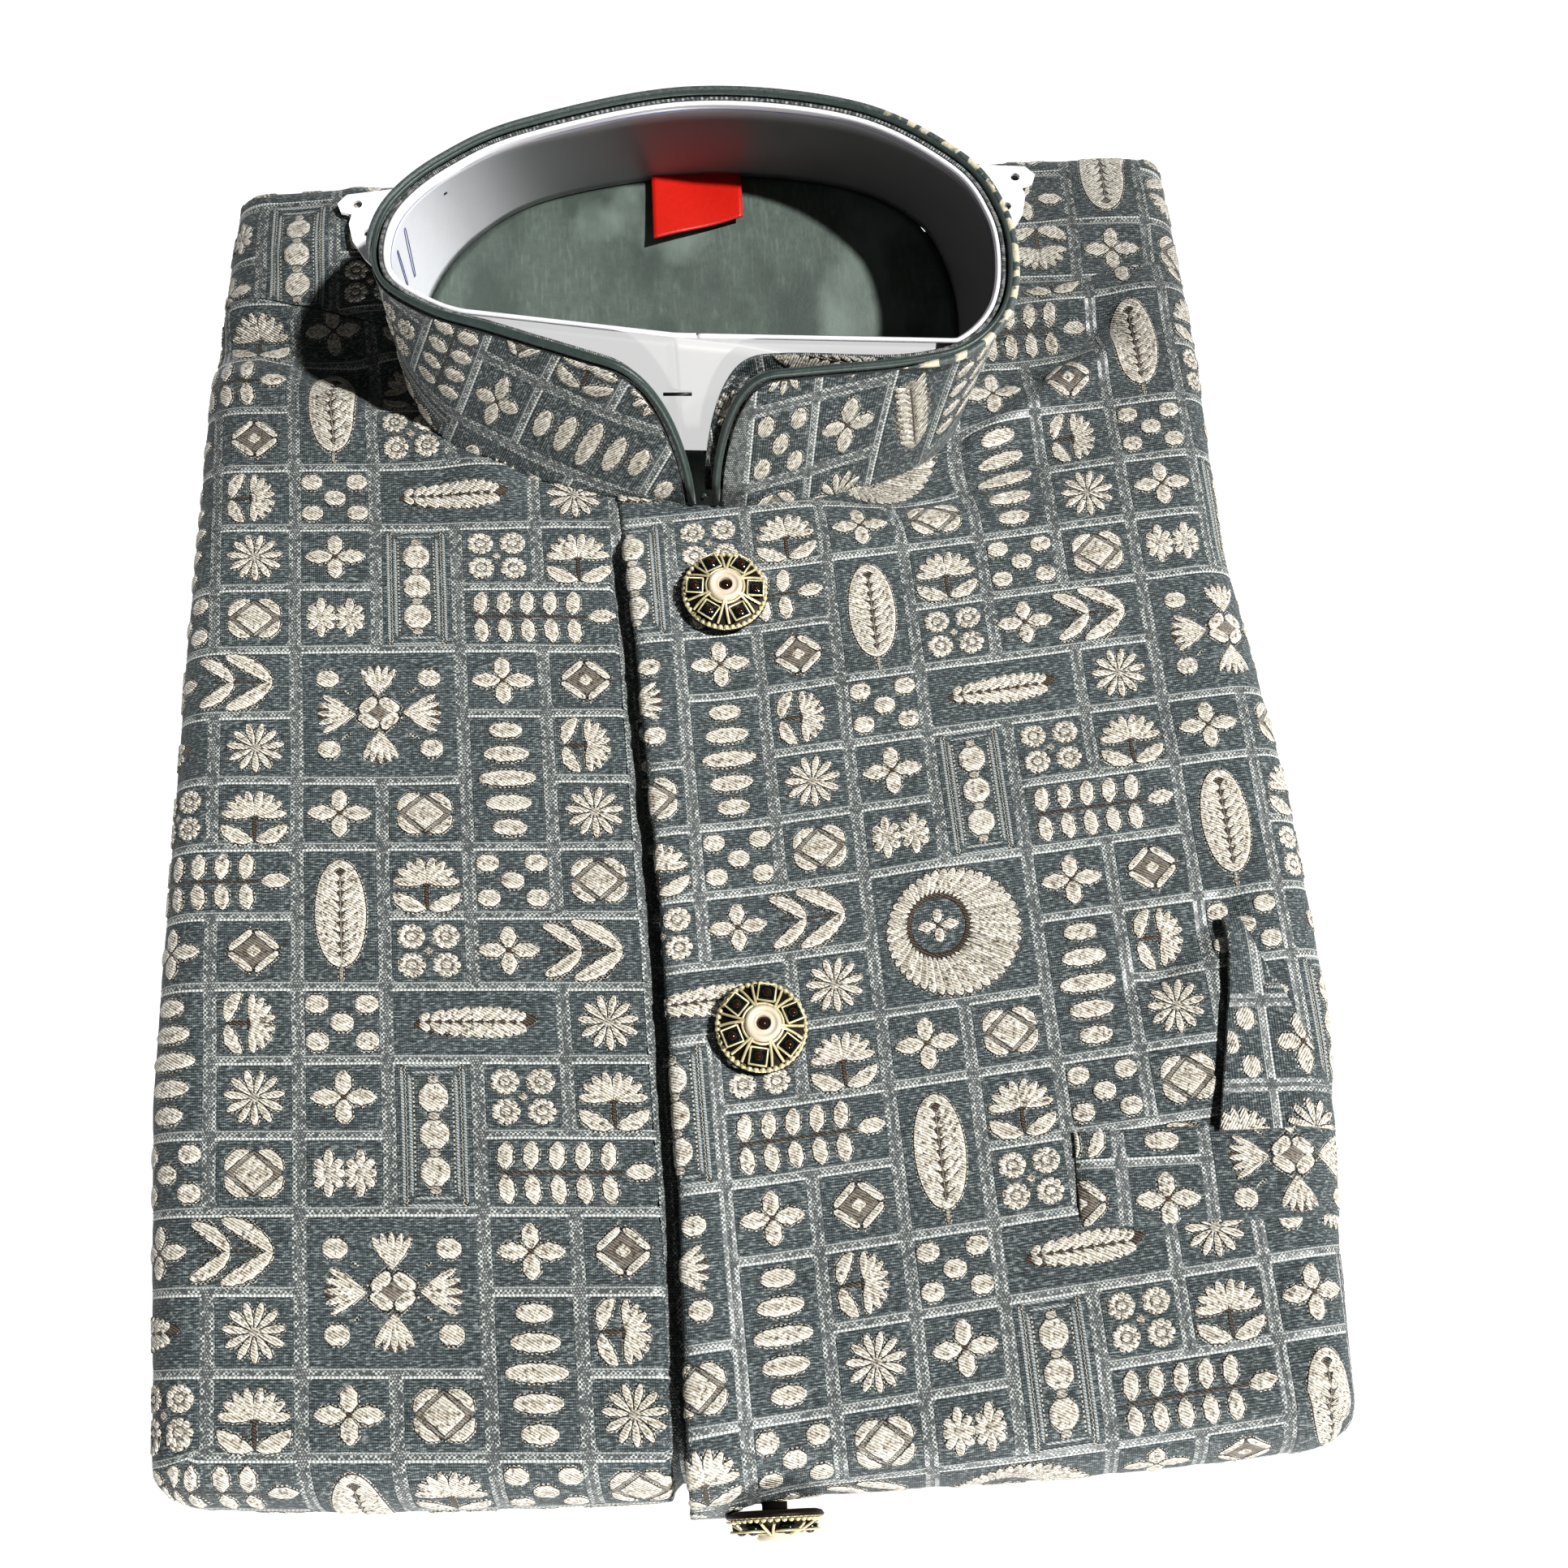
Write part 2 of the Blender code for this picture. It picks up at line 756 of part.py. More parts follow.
def make_facing(collection):
    start = OPENING / 2 - FACING_LEAD
    stop = RING_LENGTH - OPENING / 2 - PIPING_ROOM
    make_ring_wall(
        "collar_facing", start, stop, facing_inset, 0.0, FACING_WALL, collection, "brocade"
    )


def make_piping(collection):
    """Along the top edge and down both rounded ends."""
    start = OPENING / 2
    path = bpy.data.curves.new("collar_piping", "CURVE")
    path.dimensions = "3D"
    path.bevel_depth = PIPING_RADIUS
    path.bevel_resolution = 2
    path.use_fill_caps = True
    line = path.splines.new("POLY")
    runs = ring_runs(start, RING_LENGTH - start)
    line.points.add(len(runs) - 1)
    for point, run in zip(line.points, runs):
        near_end = min(run - start, RING_LENGTH - start - run)
        x, y, z = ring_point(run, end_height(near_end), PIPING_INSET)
        point.co = (x, y - BOX_MIDDLE_Y, z, 1.0)
    path.materials.append(material("piping_cloth"))
    made = bpy.data.objects.new("collar_piping", path)
    collection.objects.link(made)


def band_point(run, rise):
    """The support band: inside the collar, but straight across behind the opening."""
    inset = facing_inset(run) + FACING_WALL + BAND_ROOM
    x, y, seam_z = ring_point(run, 0.0, inset)
    foot = max(lining_height(x, y) + BAND_ROOM, BAND_LEAST_FOOT)
    x, y, z = ring_point(run, (mix(foot, BAND_RIM_Z, rise) - seam_z) / (RIM_Z - seam_z), inset)
    if y < NECK_CENTRE[1]:
        rim_y = read_table(BAND_CHORD, x, 1)
        foot_y = read_table(BAND_CHORD, x, 2)
        y = max(y, mix(foot_y, rim_y, rise))
    return x, y, z


def make_band(collection):
    middle = span(RING_FREE, RING_LENGTH - RING_FREE, RING_STEPS)
    runs = [0.0, RING_FREE / 2] + middle + [RING_LENGTH - RING_FREE / 2, RING_LENGTH]
    shape = grid_of(runs, span(0.0, 1.0, 3), band_point, wrap=True)
    made = finish_mesh("collar_band", shape, collection, "white_card")
    thicken(made, BAND_WALL)


def neck_disc(inset, height_at, steps):
    """A disc that fills the collar's seam line, a square grid drawn out to it."""

    def place(across, along):
        share = max(abs(across), abs(along))
        if share < 1e-6:
            x, y = NECK_CENTRE
        else:
            turn = math.atan2(along, across) + math.pi / 2
            rim_x, rim_y, _ = ring_point(turn / (2 * math.pi) % 1.0 * RING_LENGTH, 0.0, inset)
            x, y = mix(NECK_CENTRE[0], rim_x, share), mix(NECK_CENTRE[1], rim_y, share)
        return x, y, height_at(x, y)

    return grid_of(span(-1.0, 1.0, steps), span(-1.0, 1.0, steps), place)


def lining_height(x, y):
    share = smooth((y - LINING_FRONT[0]) / (LINING_BACK[0] - LINING_FRONT[0]))
    return mix(LINING_FRONT[1], LINING_BACK[1], share)


def make_neck_cutter(name, height_at, collection):
    """The hole in which the collar stands, open at the top."""
    shape = neck_disc(-GAP, height_at, NECK_CUTTER_STEPS)
    raised = bmesh.ops.extrude_face_region(shape, geom=shape.faces[:])
    for vert in raised["geom"]:
        if isinstance(vert, bmesh.types.BMVert):
            vert.co.z = NECK_CUTTER_TOP
    bmesh.ops.recalc_face_normals(shape, faces=shape.faces[:])
    made = finish_mesh(name, shape, collection, "hidden_layers")
    made.hide_render = True
    made.display_type = "WIRE"
    return made


def make_lining(collection):
    shape = neck_disc(LINING_INSET, lining_height, LINING_STEPS)
    made = finish_mesh("neck_lining", shape, collection, "lining_cloth")
    thicken(made, LINING_WALL)


def make_label(collection):
    def place(across, along):
        foot = mix(LABEL_FOOT_Y[0], LABEL_FOOT_Y[1], across)
        x = mix(LABEL_X[0], LABEL_X[1], across)
        y = mix(foot, LABEL_TOP_Y, along)
        wave = LABEL_WAVE * math.sin(math.pi * along) * (1.0 + across) / 2
        return x, y, lining_height(x, y) + GAP + LABEL_WALL + wave

    shape = grid_of(span(0.0, 1.0, 5), span(0.0, 1.0, 6), place)
    made = finish_mesh("neck_label", shape, collection, "label_cloth")
    thicken(made, LABEL_WALL)


def add_outline(curve, points):
    line = curve.splines.new("POLY")
    line.points.add(len(points) - 1)
    for point, (x, y) in zip(line.points, points):
        point.co = (x, y - BOX_MIDDLE_Y, 0.0, 1.0)
    line.use_cyclic_u = True


def make_plate(collection):
    """The support's shaped plate, flat behind the collar, its outline and holes mirrored."""
    flat = bpy.data.curves.new("collar_butterfly", "CURVE")
    flat.dimensions = "2D"
    flat.fill_mode = "BOTH"
    flat.extrude = PLATE_WALL / 2
    right = [(PLATE_MIDDLE_X + x, y) for x, y in PLATE_OUTLINE]
    left = [(PLATE_MIDDLE_X - x, y) for x, y in reversed(PLATE_OUTLINE[1:-1])]
    add_outline(flat, right + left)
    for x, y, radius in PLATE_HOLES:
        for side in (-1, 1):
            middle = PLATE_MIDDLE_X + side * x
            turns = [2 * math.pi * step / 10 for step in range(10)]
            add_outline(
                flat, [(middle + radius * math.cos(t), y + radius * math.sin(t)) for t in turns]
            )
    flat.materials.append(material("white_card"))
    made = bpy.data.objects.new("collar_butterfly", flat)
    made.location.z = PLATE_Z
    collection.objects.link(made)


# What lies on the fronts


def on_front(x, y, lift):
    """A point over the left front, a lift above its outer face, also where it turns down at the side."""
    edge = flat_edge(y)
    if x <= edge:
        return x, y, top_height(x, y) - placket_lift(x, y) + lift
    upper = ((0.0, 1.0),) + FOLD[:UPPER_LEVELS]
    out = min((x - edge) / FOLD_REACH, 1.0)
    return skin(edge, y, out, read_table(upper, out), 0.0, -lift)


def make_patch(name, rows, shares, top_at, wall, collection):
    """A piece of the brocade that lies on the front: rows are (y, left x, right x)."""

    def place(share, row):
        y, left, right = row
        return on_front(mix(left, right, share), y, top_at(share))

    shape = grid_of(shares, rows, place)
    made = finish_mesh(name, shape, collection, "brocade")
    thicken(made, wall)


def make_pocket(collection):
    low, high = WELT_Y
    welt_rows = [(y, WELT_X[0] + WELT_SLANT * (y - low), WELT_X[1]) for y in span(low, high, 3)]
    shares = span(0.0, WELT_TURN, 4) + span(WELT_TURN, 1.0, 5)[1:]
    make_patch("pocket_welt", welt_rows, shares, level(WELT_WALL + PATCH_ROOM), WELT_WALL, collection)

    def square_top(share):
        return SQUARE_WALL + PATCH_ROOM + SQUARE_LIFT * (1.0 - share) ** 2

    make_patch("pocket_square", SQUARE_ROWS, span(0.0, 1.0, 8), square_top, SQUARE_WALL, collection)


def turned_button(name, collection):
    """A domed metal button on its shank, turned about its middle."""
    mesh = bpy.data.meshes.new(name)
    shape = bmesh.new()
    last = None
    for radius, height in BUTTON_PROFILE:
        vert = shape.verts.new((radius, 0.0, height))
        if last:
            shape.edges.new((last, vert))
        last = vert
    shape.to_mesh(mesh)
    shape.free()
    mesh.materials.append(material("gold"))
    made = bpy.data.objects.new(name, mesh)
    turn = made.modifiers.new("turn", "SCREW")
    turn.steps = BUTTON_SIDES
    turn.render_steps = BUTTON_SIDES
    turn.use_merge_vertices = True
    turn.merge_threshold = 0.00001
    collection.objects.link(made)
    return made


def make_buttons(collection):
    for name, x, y in BUTTONS:
        made = turned_button(name, collection)
        made.location = (x, y - BOX_MIDDLE_Y, on_front(x, y, 0.0)[2])
        step = BUTTON_RADIUS
        slope_x = on_front(x + step, y, 0.0)[2] - on_front(x - step, y, 0.0)[2]
        slope_y = on_front(x, y + step, 0.0)[2] - on_front(x, y - step, 0.0)[2]
        made.rotation_euler = (math.atan2(slope_y, 2 * step), -math.atan2(slope_x, 2 * step), 0.0)
    name, x = NEAR_BUTTON
    made = turned_button(name, collection)
    near = NEAR_Y + FOLD_REACH
    x, y, z = skin(x, near, *NEAR_BUTTON_ON_FOLD, 90.0, placket_lift(x, near))
    made.location = (x, y - BOX_MIDDLE_Y, z)
    made.rotation_euler = (math.radians(90), 0.0, 0.0)


def make_hook(collection):
    wire = bpy.data.curves.new("collar_hook", "CURVE")
    wire.dimensions = "3D"
    wire.bevel_depth = HOOK_RADIUS
    wire.bevel_resolution = 1
    wire.use_fill_caps = True
    line = wire.splines.new("POLY")
    line.points.add(len(HOOK_POINTS) - 1)
    for point, (x, y, z) in zip(line.points, HOOK_POINTS):
        point.co = (x, y - BOX_MIDDLE_Y, z, 1.0)
    wire.materials.append(material("steel"))
    made = bpy.data.objects.new("collar_hook", wire)
    collection.objects.link(made)


def main():
    clear_scene()
    parts = new_collection(PART)
    cutters = new_collection("cutters")
    panel_hole = make_neck_cutter("neck_hole", level(NECK_CUTTER_FOOT), cutters)
    hollow = make_neck_cutter(
        "neck_hollow", lambda x, y: lining_height(x, y) - LINING_WALL - GAP, cutters
    )
    make_core(parts, hollow)
    make_front_right(parts, panel_hole)
    make_front_left(parts, panel_hole)
    make_back(parts, panel_hole)
    make_stand(parts)
    make_facing(parts)
    make_piping(parts)
    make_hook(parts)
    make_band(parts)
    make_plate(parts)
    make_lining(parts)
    make_label(parts)
    make_pocket(parts)
    make_buttons(parts)


main()
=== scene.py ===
import math

import bmesh
import bpy
import numpy as np
from mathutils import Matrix, Vector


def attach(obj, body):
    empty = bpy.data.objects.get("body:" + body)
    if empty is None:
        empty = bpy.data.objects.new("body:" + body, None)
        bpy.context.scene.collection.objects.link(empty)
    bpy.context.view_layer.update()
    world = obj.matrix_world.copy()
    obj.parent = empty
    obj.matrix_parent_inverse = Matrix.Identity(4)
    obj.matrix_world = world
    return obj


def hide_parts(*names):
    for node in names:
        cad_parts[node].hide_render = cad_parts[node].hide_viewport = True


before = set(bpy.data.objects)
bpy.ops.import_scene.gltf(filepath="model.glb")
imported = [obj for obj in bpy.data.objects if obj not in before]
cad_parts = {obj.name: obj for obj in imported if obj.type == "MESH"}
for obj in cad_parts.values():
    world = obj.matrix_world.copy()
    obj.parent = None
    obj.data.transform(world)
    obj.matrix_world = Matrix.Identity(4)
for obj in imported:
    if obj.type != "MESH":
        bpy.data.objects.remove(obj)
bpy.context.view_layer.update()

# Lengths are in millimetres, from the middle of the chest: x to the right, y towards the collar, z up.
# The part's origin is the middle of its box, this far towards the collar.
MM = 0.001
BOX_MIDDLE_Y = 7.8

# The camera that took the photograph, worked out from the brocade's even repeat, and the light
PHOTO_SIDE = 1932
FOCAL_PIXELS = 2400.0
SENSOR = 36.0
CAMERA_AT = (5.127, -169.234, 471.747)
ELEVATION = 69.1
YAW = 2.9
SUNS = (
    # name, where its light comes from, energy, angle
    ("key", (0.55, -0.05, 0.835), 4.2, 3.0),
    ("fill", (0.10, -0.99, 0.055), 1.75, 5.0),
)
WORLD_LIGHT = 0.08
FLOOR_HALF = 3.0
FLOOR_DROP = 0.0004

# The folded body
NEAR_Y = -162.5
FAR_Y = 187.0
TOP = 27.5
CROWN = 1.2
FOLD_REACH = 14.0
FAR_REACH = 9.0
LEAF_HEIGHT = 12.0
CORNER_POWER = 0.55
LIFT_FADE_RISE = 0.45
CORE_INSET = 2.5
LEAVES = 4
CLOTH_HALF = 172.0
CLOTH_STEP = 2.0
FRONT_TOP = 148.0
PATTERN_TOP = 150.0
HALF_WIDTHS = np.array((
    # y, half width
    (-165.0, 131.5),
    (-70.0, 137.5),
    (40.0, 136.5),
    (120.0, 134.5),
    (190.0, 128.5),
))
RIGHT_SIDE = np.array((
    # y, how much further out the photograph's right side lies
    (-165.0, 0.5),
    (-105.0, 0.0),
    (-59.0, 2.8),
    (-5.0, 1.6),
    (62.0, -4.8),
    (100.0, -3.6),
    (143.0, -1.8),
    (186.0, 0.0),
))
NEAR_CORNERS = 4.4
NEAR_HALF = 131.0
FOLD = np.array((
    # share of the fold's reach, share of its height
    (0.00, 1.000),
    (0.40, 0.965),
    (0.74, 0.820),
    (0.94, 0.600),
    (1.00, 0.380),
    (0.93, 0.130),
    (0.72, 0.000),
    (0.42, 0.000),
))

# Ridges and troughs: the largest are in the solids too
CREASES = (
    # x from, y from, x to, y to, half width, height
    (-56.0, 89.0, -96.0, 113.0, 6.0, 2.6),
    (-96.0, 113.0, -122.0, 126.0, 6.0, 1.6),
    (-86.0, 118.0, -118.0, 136.0, 8.0, -6.0),
    (69.0, 96.0, 104.0, 119.0, 5.0, 2.2),
    (76.0, 114.0, 106.0, 129.0, 6.5, -4.2),
    (80.0, 131.0, 118.0, 137.0, 5.5, 1.4),
    (-112.0, 160.0, -96.0, 175.0, 6.0, 1.8),
    (100.0, 158.0, 120.0, 164.0, 7.0, 1.2),
    (-42.0, 176.0, 36.0, 176.0, 14.0, 3.0),
    (-118.0, -110.0, -50.0, -90.0, 10.0, 1.0),
    (-125.0, 20.0, -70.0, 0.0, 9.0, -1.0),
    (50.0, -20.0, 115.0, 5.0, 11.0, 1.0),
    (118.0, -36.0, 98.0, -52.0, 4.0, -2.0),
    # small ones that only the fine surface shows
    (-62.0, 84.0, -30.0, 66.0, 7.0, 0.9),
    (-75.0, 76.0, -118.0, 88.0, 8.0, -0.9),
    (60.0, 78.0, 96.0, 92.0, 5.0, -0.9),
    (30.0, 64.0, 70.0, 74.0, 5.0, 0.6),
    (-130.0, -40.0, -60.0, -58.0, 9.0, 0.7),
    (-100.0, 50.0, -55.0, 40.0, 10.0, 0.6),
    (10.0, -120.0, 100.0, -140.0, 9.0, 0.7),
    (20.0, 20.0, 90.0, 40.0, 12.0, 0.7),
    (104.0, -50.0, 88.0, -58.0, 3.0, -0.8),
    (64.0, 93.5, 86.0, 111.0, 2.4, -1.6),
    (86.0, 111.0, 102.0, 122.5, 2.4, -1.3),
    (60.0, 98.5, 75.0, 114.5, 3.0, 1.1),
    (75.0, 114.5, 98.0, 125.0, 3.0, 0.9),
    (-104.0, 152.0, -92.0, 122.0, 5.0, -1.6),
    (-118.0, 158.0, -108.0, 141.0, 4.0, -1.2),
)
WAVES = (
    # length across, length along, turn, height of the cloth's slight unevenness
    (61.0, 47.0, 0.4, 0.22),
    (23.0, 31.0, 1.9, 0.10),
    (13.0, 17.0, 4.1, 0.05),
)

# The overlapping front's turned edge, and the recess beside it
PLACKET_EDGE = np.array((
    # y, x
    (-170.0, -13.7),
    (-100.0, -13.7),
    (-27.0, -16.2),
    (45.0, -20.7),
    (85.0, -24.5),
))
UNDERLAP = 12.0
RECESS = 6.0
RECESS_ROLL = 1.8
PLACKET_LIFT = 3.4
PLACKET_DIP = 3.6
SLIT_TOP_Y = 64.0
SLIT_FADE = 6.0
LIFT_FADE = 15.0
DIP_FADE = 4.0
CLOSED_LIFT = 1.0
CLOSED_DIP = 1.8
CLOSED_RECESS = 1.2
EDGE_ROLL = 1.2
EDGE_TUCK = 7.0
TUCK_CLEAR = 0.9
SEAM_ROOM = 0.2

SHOULDER_SEAMS = np.array((
    # x, y
    (-140.0, 150.0),
    (-120.0, 148.0),
    (-104.0, 144.0),
    (-88.0, 137.5),
    (-70.0, 135.0),
    (70.0, 137.0),
    (86.0, 139.5),
    (102.0, 142.0),
    (113.0, 146.0),
    (140.0, 147.0),
))

# The collar, from the opening at the front, round by the wearer's left, with the band inside it
COLLAR = np.array((
    # seam x, seam y, rim x, rim y
    (-3.0, 77.0, -3.0, 91.5),
    (14.0, 77.5, 13.0, 91.2),
    (30.0, 79.3, 29.0, 92.0),
    (46.0, 83.0, 48.0, 93.2),
    (58.5, 90.0, 63.0, 96.5),
    (67.0, 104.0, 73.0, 106.0),
    (71.5, 124.0, 76.8, 120.0),
    (70.0, 145.0, 75.5, 137.0),
    (60.0, 164.0, 66.0, 154.0),
    (37.0, 176.5, 40.0, 171.2),
    (-2.0, 181.5, -2.0, 177.8),
    (-42.0, 176.0, -44.0, 170.0),
    (-64.0, 164.0, -65.0, 160.0),
    (-77.0, 148.0, -78.0, 148.0),
    (-81.0, 131.0, -82.5, 135.0),
    (-78.5, 114.0, -80.0, 123.0),
    (-69.0, 98.5, -68.0, 114.0),
    (-54.5, 90.8, -54.0, 108.5),
    (-39.0, 85.0, -38.0, 102.0),
    (-21.0, 79.7, -21.0, 95.5),
))
SEAM_Z = 29.5
BACK_SEAM_RISE = 1.5
BACK_SEAM_REACH = 40.0
RIM_Z = 66.0
SKIRT = 2.2
OPENING = 7.4
END_ROUNDING = 24.0
END_POWERS = (2.6, 0.6)
END_ROOM = 0.8
PIPING_ROOM = 1.2
PIPING_INSET = 0.7
STAND_WALL = 1.6
GAP = 0.3
FACING_WALL = 1.2
FACING_OFF = 4.0
FACING_OFF_END = 70.0
FACING_LEAD = 3.6
BAND_ROOM = 0.4
BAND_RIM_Z = 65.5
BAND_LEAST_FOOT = 24.0
BAND_CHORD = np.array((
    # x, rim y, foot y
    (-65.0, 115.0, 108.0),
    (-8.0, 104.5, 96.0),
    (60.0, 99.5, 93.0),
))
BAND_ENDS = (
    # name, from x over a middle to x, how far below the rim each is, how far out each lies
    ("band_front", (-62.0, 0.0, 56.0), (0.2, 0.1, 0.2), (0.25, 0.25, 0.25)),
    ("band_lap", (-8.0, 6.0, 33.0), (0.3, 1.6, 6.5), (0.7, 1.1, 1.9)),
)
BAND_SLOTS = (
    # run from the end, then rise, of a slot's top and foot
    (142.0, 0.86, 138.5, 0.42),
    (131.5, 0.84, 130.5, 0.52),
)
NECK_CENTRE = np.array((-4.0, 132.0))
LINING_BACK = (180.0, 33.0)
LINING_FRONT = (80.0, 17.0)
LINING_INSET = 3.8
WALL_HEIGHT = 38.0
STAND_ROWS = (-2.4, 38.5)
STAND_BOX = (-3.0, 40.0)
END_STRETCH = 26.0
EDGE_RISE = 0.985
BACK_FROM = 112.0
BACK_LEFT = 118.0
ROLL_FROM = 62.0
PIPING_RADIUS = 1.05
PIPING_THINNER = 0.42

# The chest pocket, and the buttons
WELT_X = 74.8
WELT_Y = (-110.0, -88.5)
POCKET_SQUARE = np.array((
    # y, left x, right x
    (-90.0, 108.4, 139.0),
    (-80.0, 110.4, 137.0),
    (-69.0, 112.5, 132.0),
    (-59.0, 114.5, 128.5),
    (-49.0, 116.0, 123.5),
    (-40.0, 117.0, 120.4),
))
CHEST_BUTTONS = ((1.1, 50.5), (5.0, -61.3))
NEAR_BUTTON_X = 3.3
BUTTON_SPINS = (-4.0, 20.0, 10.0)
BUTTON_REACH = 11.1
STONE_RADIUS = 7.6
STONE_SIDE = 3.5
STONE_HEIGHT = 1.4
SQUARE = ((-1, -1), (1, -1), (1, 1), (-1, 1))

# The brocade's lattice: cells across and down, and where each piece's cloth lies on it
CELL_X = 20.55
CELL_Y = 17.39
BAND_X = 3.3
BAND_Y = 2.3
CELL_CORNER = 1.2
CELL_LIFT = 0.10
DRAWN_IN = (
    # across, then along: where, how far round, how much
    (50.0, 20.0, 5.5),
    (92.0, 15.0, 10.5),
)
LATTICES = {
    # piece: cells for each millimetre across and along, then where that starts; rows the same
    "front_right": ((0.04862, 0.00222, 6.093), (-0.00285, -0.05745, 4.111)),
    "front_left": ((0.05068, 0.00237, -0.543), (0.00607, -0.05835, 0.374)),
    "back_panel": ((0.0497, 0.0, 0.0), (0.0, 0.0575, -0.2)),
    "collar_stand": ((-0.0070, 0.0450, 3.36), (0.0475, -0.0081, -0.57)),
    "collar_stand_back": ((0.0, 0.0487, 3.1), (0.0575, 0.0, 1.0)),
    "collar_facing": ((0.0077, 0.045, 3.5), (0.048, 0.006, -0.2)),
    "pocket_welt": ((-0.0506, 0.0, 8.3), (0.0, 0.0583, 8.6)),
    "pocket_square": ((0.0, 0.0500, 5.0), (0.0575, 0.0, 1.0)),
}


# Numbers, grids and shapes


def smooth(share):
    share = np.clip(share, 0.0, 1.0)
    return share * share * (3.0 - 2.0 * share)


def mix(low, high, share):
    return low + (high - low) * share


def read_table(table, key, column=1):
    return np.interp(key, table[:, 0], table[:, column])


def steps(start, stop, size):
    return np.linspace(start, stop, max(2, int(round(abs(stop - start) / size)) + 1))


def curve(points, place):
    """The closed smooth curve through the points, at places counted in points from the first."""
    index = np.floor(place).astype(int)
    part = (place - index)[:, None]
    before, start, end, after = (points[(index + step) % len(points)] for step in (-1, 0, 1, 2))
    return (
        before * (-0.5 * part + part**2 - 0.5 * part**3)
        + start * (1.0 - 2.5 * part**2 + 1.5 * part**3)
        + end * (0.5 * part + 2.0 * part**2 - 1.5 * part**3)
        + after * (-0.5 * part**2 + 0.5 * part**3)
    )


def rounded(points, parts=10):
    """A smooth open curve through the points: both ends run straight on."""
    padded = np.vstack((points, 2 * points[-1] - points[-2], 2 * points[0] - points[1]))
    return curve(padded, np.arange((len(points) - 1) * parts + 1) / parts)


def grid_faces(rows, columns):
    corner = np.arange(rows - 1)[:, None] * columns + np.arange(columns - 1)
    return np.stack((corner, corner + 1, corner + columns + 1, corner + columns), axis=-1).reshape(-1, 4)


def spread(across, along):
    """Each pair of places across and along, as two flat arrays, and the faces between them."""
    s, t = (values.ravel() for values in np.meshgrid(across, along))
    return s, t, grid_faces(len(along), len(across))


def join(shapes):
    """Shapes of points and faces made one."""
    points, faces = zip(*shapes)
    starts = np.cumsum([0] + [len(shape) for shape in points])
    return np.concatenate(points), np.concatenate([shape + start for shape, start in zip(faces, starts)])


def tube(path, radius, sides):
    """Points round a path, their faces, and how far along and round each is; radius may change."""
    along = np.gradient(path, axis=0)
    along /= np.linalg.norm(along, axis=1)[:, None]
    side = np.cross(along, (0.0, 0.0, 1.0))
    upright = np.linalg.norm(side, axis=1) < 0.05
    side[upright] = np.cross(along[upright], (0.0, 1.0, 0.0))
    side /= np.linalg.norm(side, axis=1)[:, None]
    over = np.cross(side, along)
    turn = np.linspace(0.0, math.tau, sides + 1)
    ring = side[:, None] * np.cos(turn)[:, None] + over[:, None] * np.sin(turn)[:, None]
    points = path[:, None] + ring * np.broadcast_to(radius, len(path))[:, None, None]
    run = np.concatenate(((0.0,), np.cumsum(np.linalg.norm(np.diff(path, axis=0), axis=1))))
    ways = np.stack(np.broadcast_arrays(run[:, None], turn), axis=-1)
    return points.reshape(-1, 3), grid_faces(len(path), sides + 1), ways.reshape(-1, 2)


# The folded body's surface


def fold_table(reach, height):
    """The way round a fold: length run, share of the reach and share of the height."""
    shares = rounded(FOLD)
    lengths = np.hypot(np.diff(shares[:, 0]) * reach, np.diff(shares[:, 1]) * height)
    return np.column_stack((np.concatenate(((0.0,), np.cumsum(lengths))), shares))


SIDE_FOLD = fold_table(FOLD_REACH, TOP - LEAF_HEIGHT)
NEAR_FOLD = fold_table(FOLD_REACH, TOP)
FAR_FOLD = fold_table(FAR_REACH, TOP)
SIDE_RUN = SIDE_FOLD[-1, 0]
NEAR_RUN = NEAR_FOLD[-1, 0]
FAR_RUN = FAR_FOLD[-1, 0]


def half_width(y, side=-1.0):
    """From the middle to a side's outermost line; side is 1 for the wearer's left."""
    return read_table(HALF_WIDTHS, y) + np.where(side > 0, read_table(RIGHT_SIDE, y), 0.0)


def near_end(x):
    """The flat's end above the near fold, which draws in a little at both corners."""
    return NEAR_Y + FOLD_REACH + NEAR_CORNERS * np.minimum(np.abs(x) / NEAR_HALF, 1.0) ** 3


def crease_height(x, y):
    total = np.zeros_like(x)
    for x_from, y_from, x_to, y_to, width, height in CREASES:
        run_x, run_y = x_to - x_from, y_to - y_from
        along = ((x - x_from) * run_x + (y - y_from) * run_y) / (run_x**2 + run_y**2)
        near = np.clip(along, 0.0, 1.0)
        away = np.hypot(x - x_from - near * run_x, y - y_from - near * run_y)
        total += height * np.exp(-((away / width) ** 2))
    for across, along, turn, height in WAVES:
        total += height * np.sin(x / across * math.tau + turn) * np.cos(y / along * math.tau - turn)
    return total


def top_height(x, y):
    across = x / half_width(y)
    along = (y - (NEAR_Y + FAR_Y) / 2) / ((FAR_Y - NEAR_Y) / 2)
    crown = CROWN * np.maximum(1.0 - across**2, 0.0) * np.maximum(1.0 - along**4, 0.0)
    return TOP + crown + crease_height(x, y)


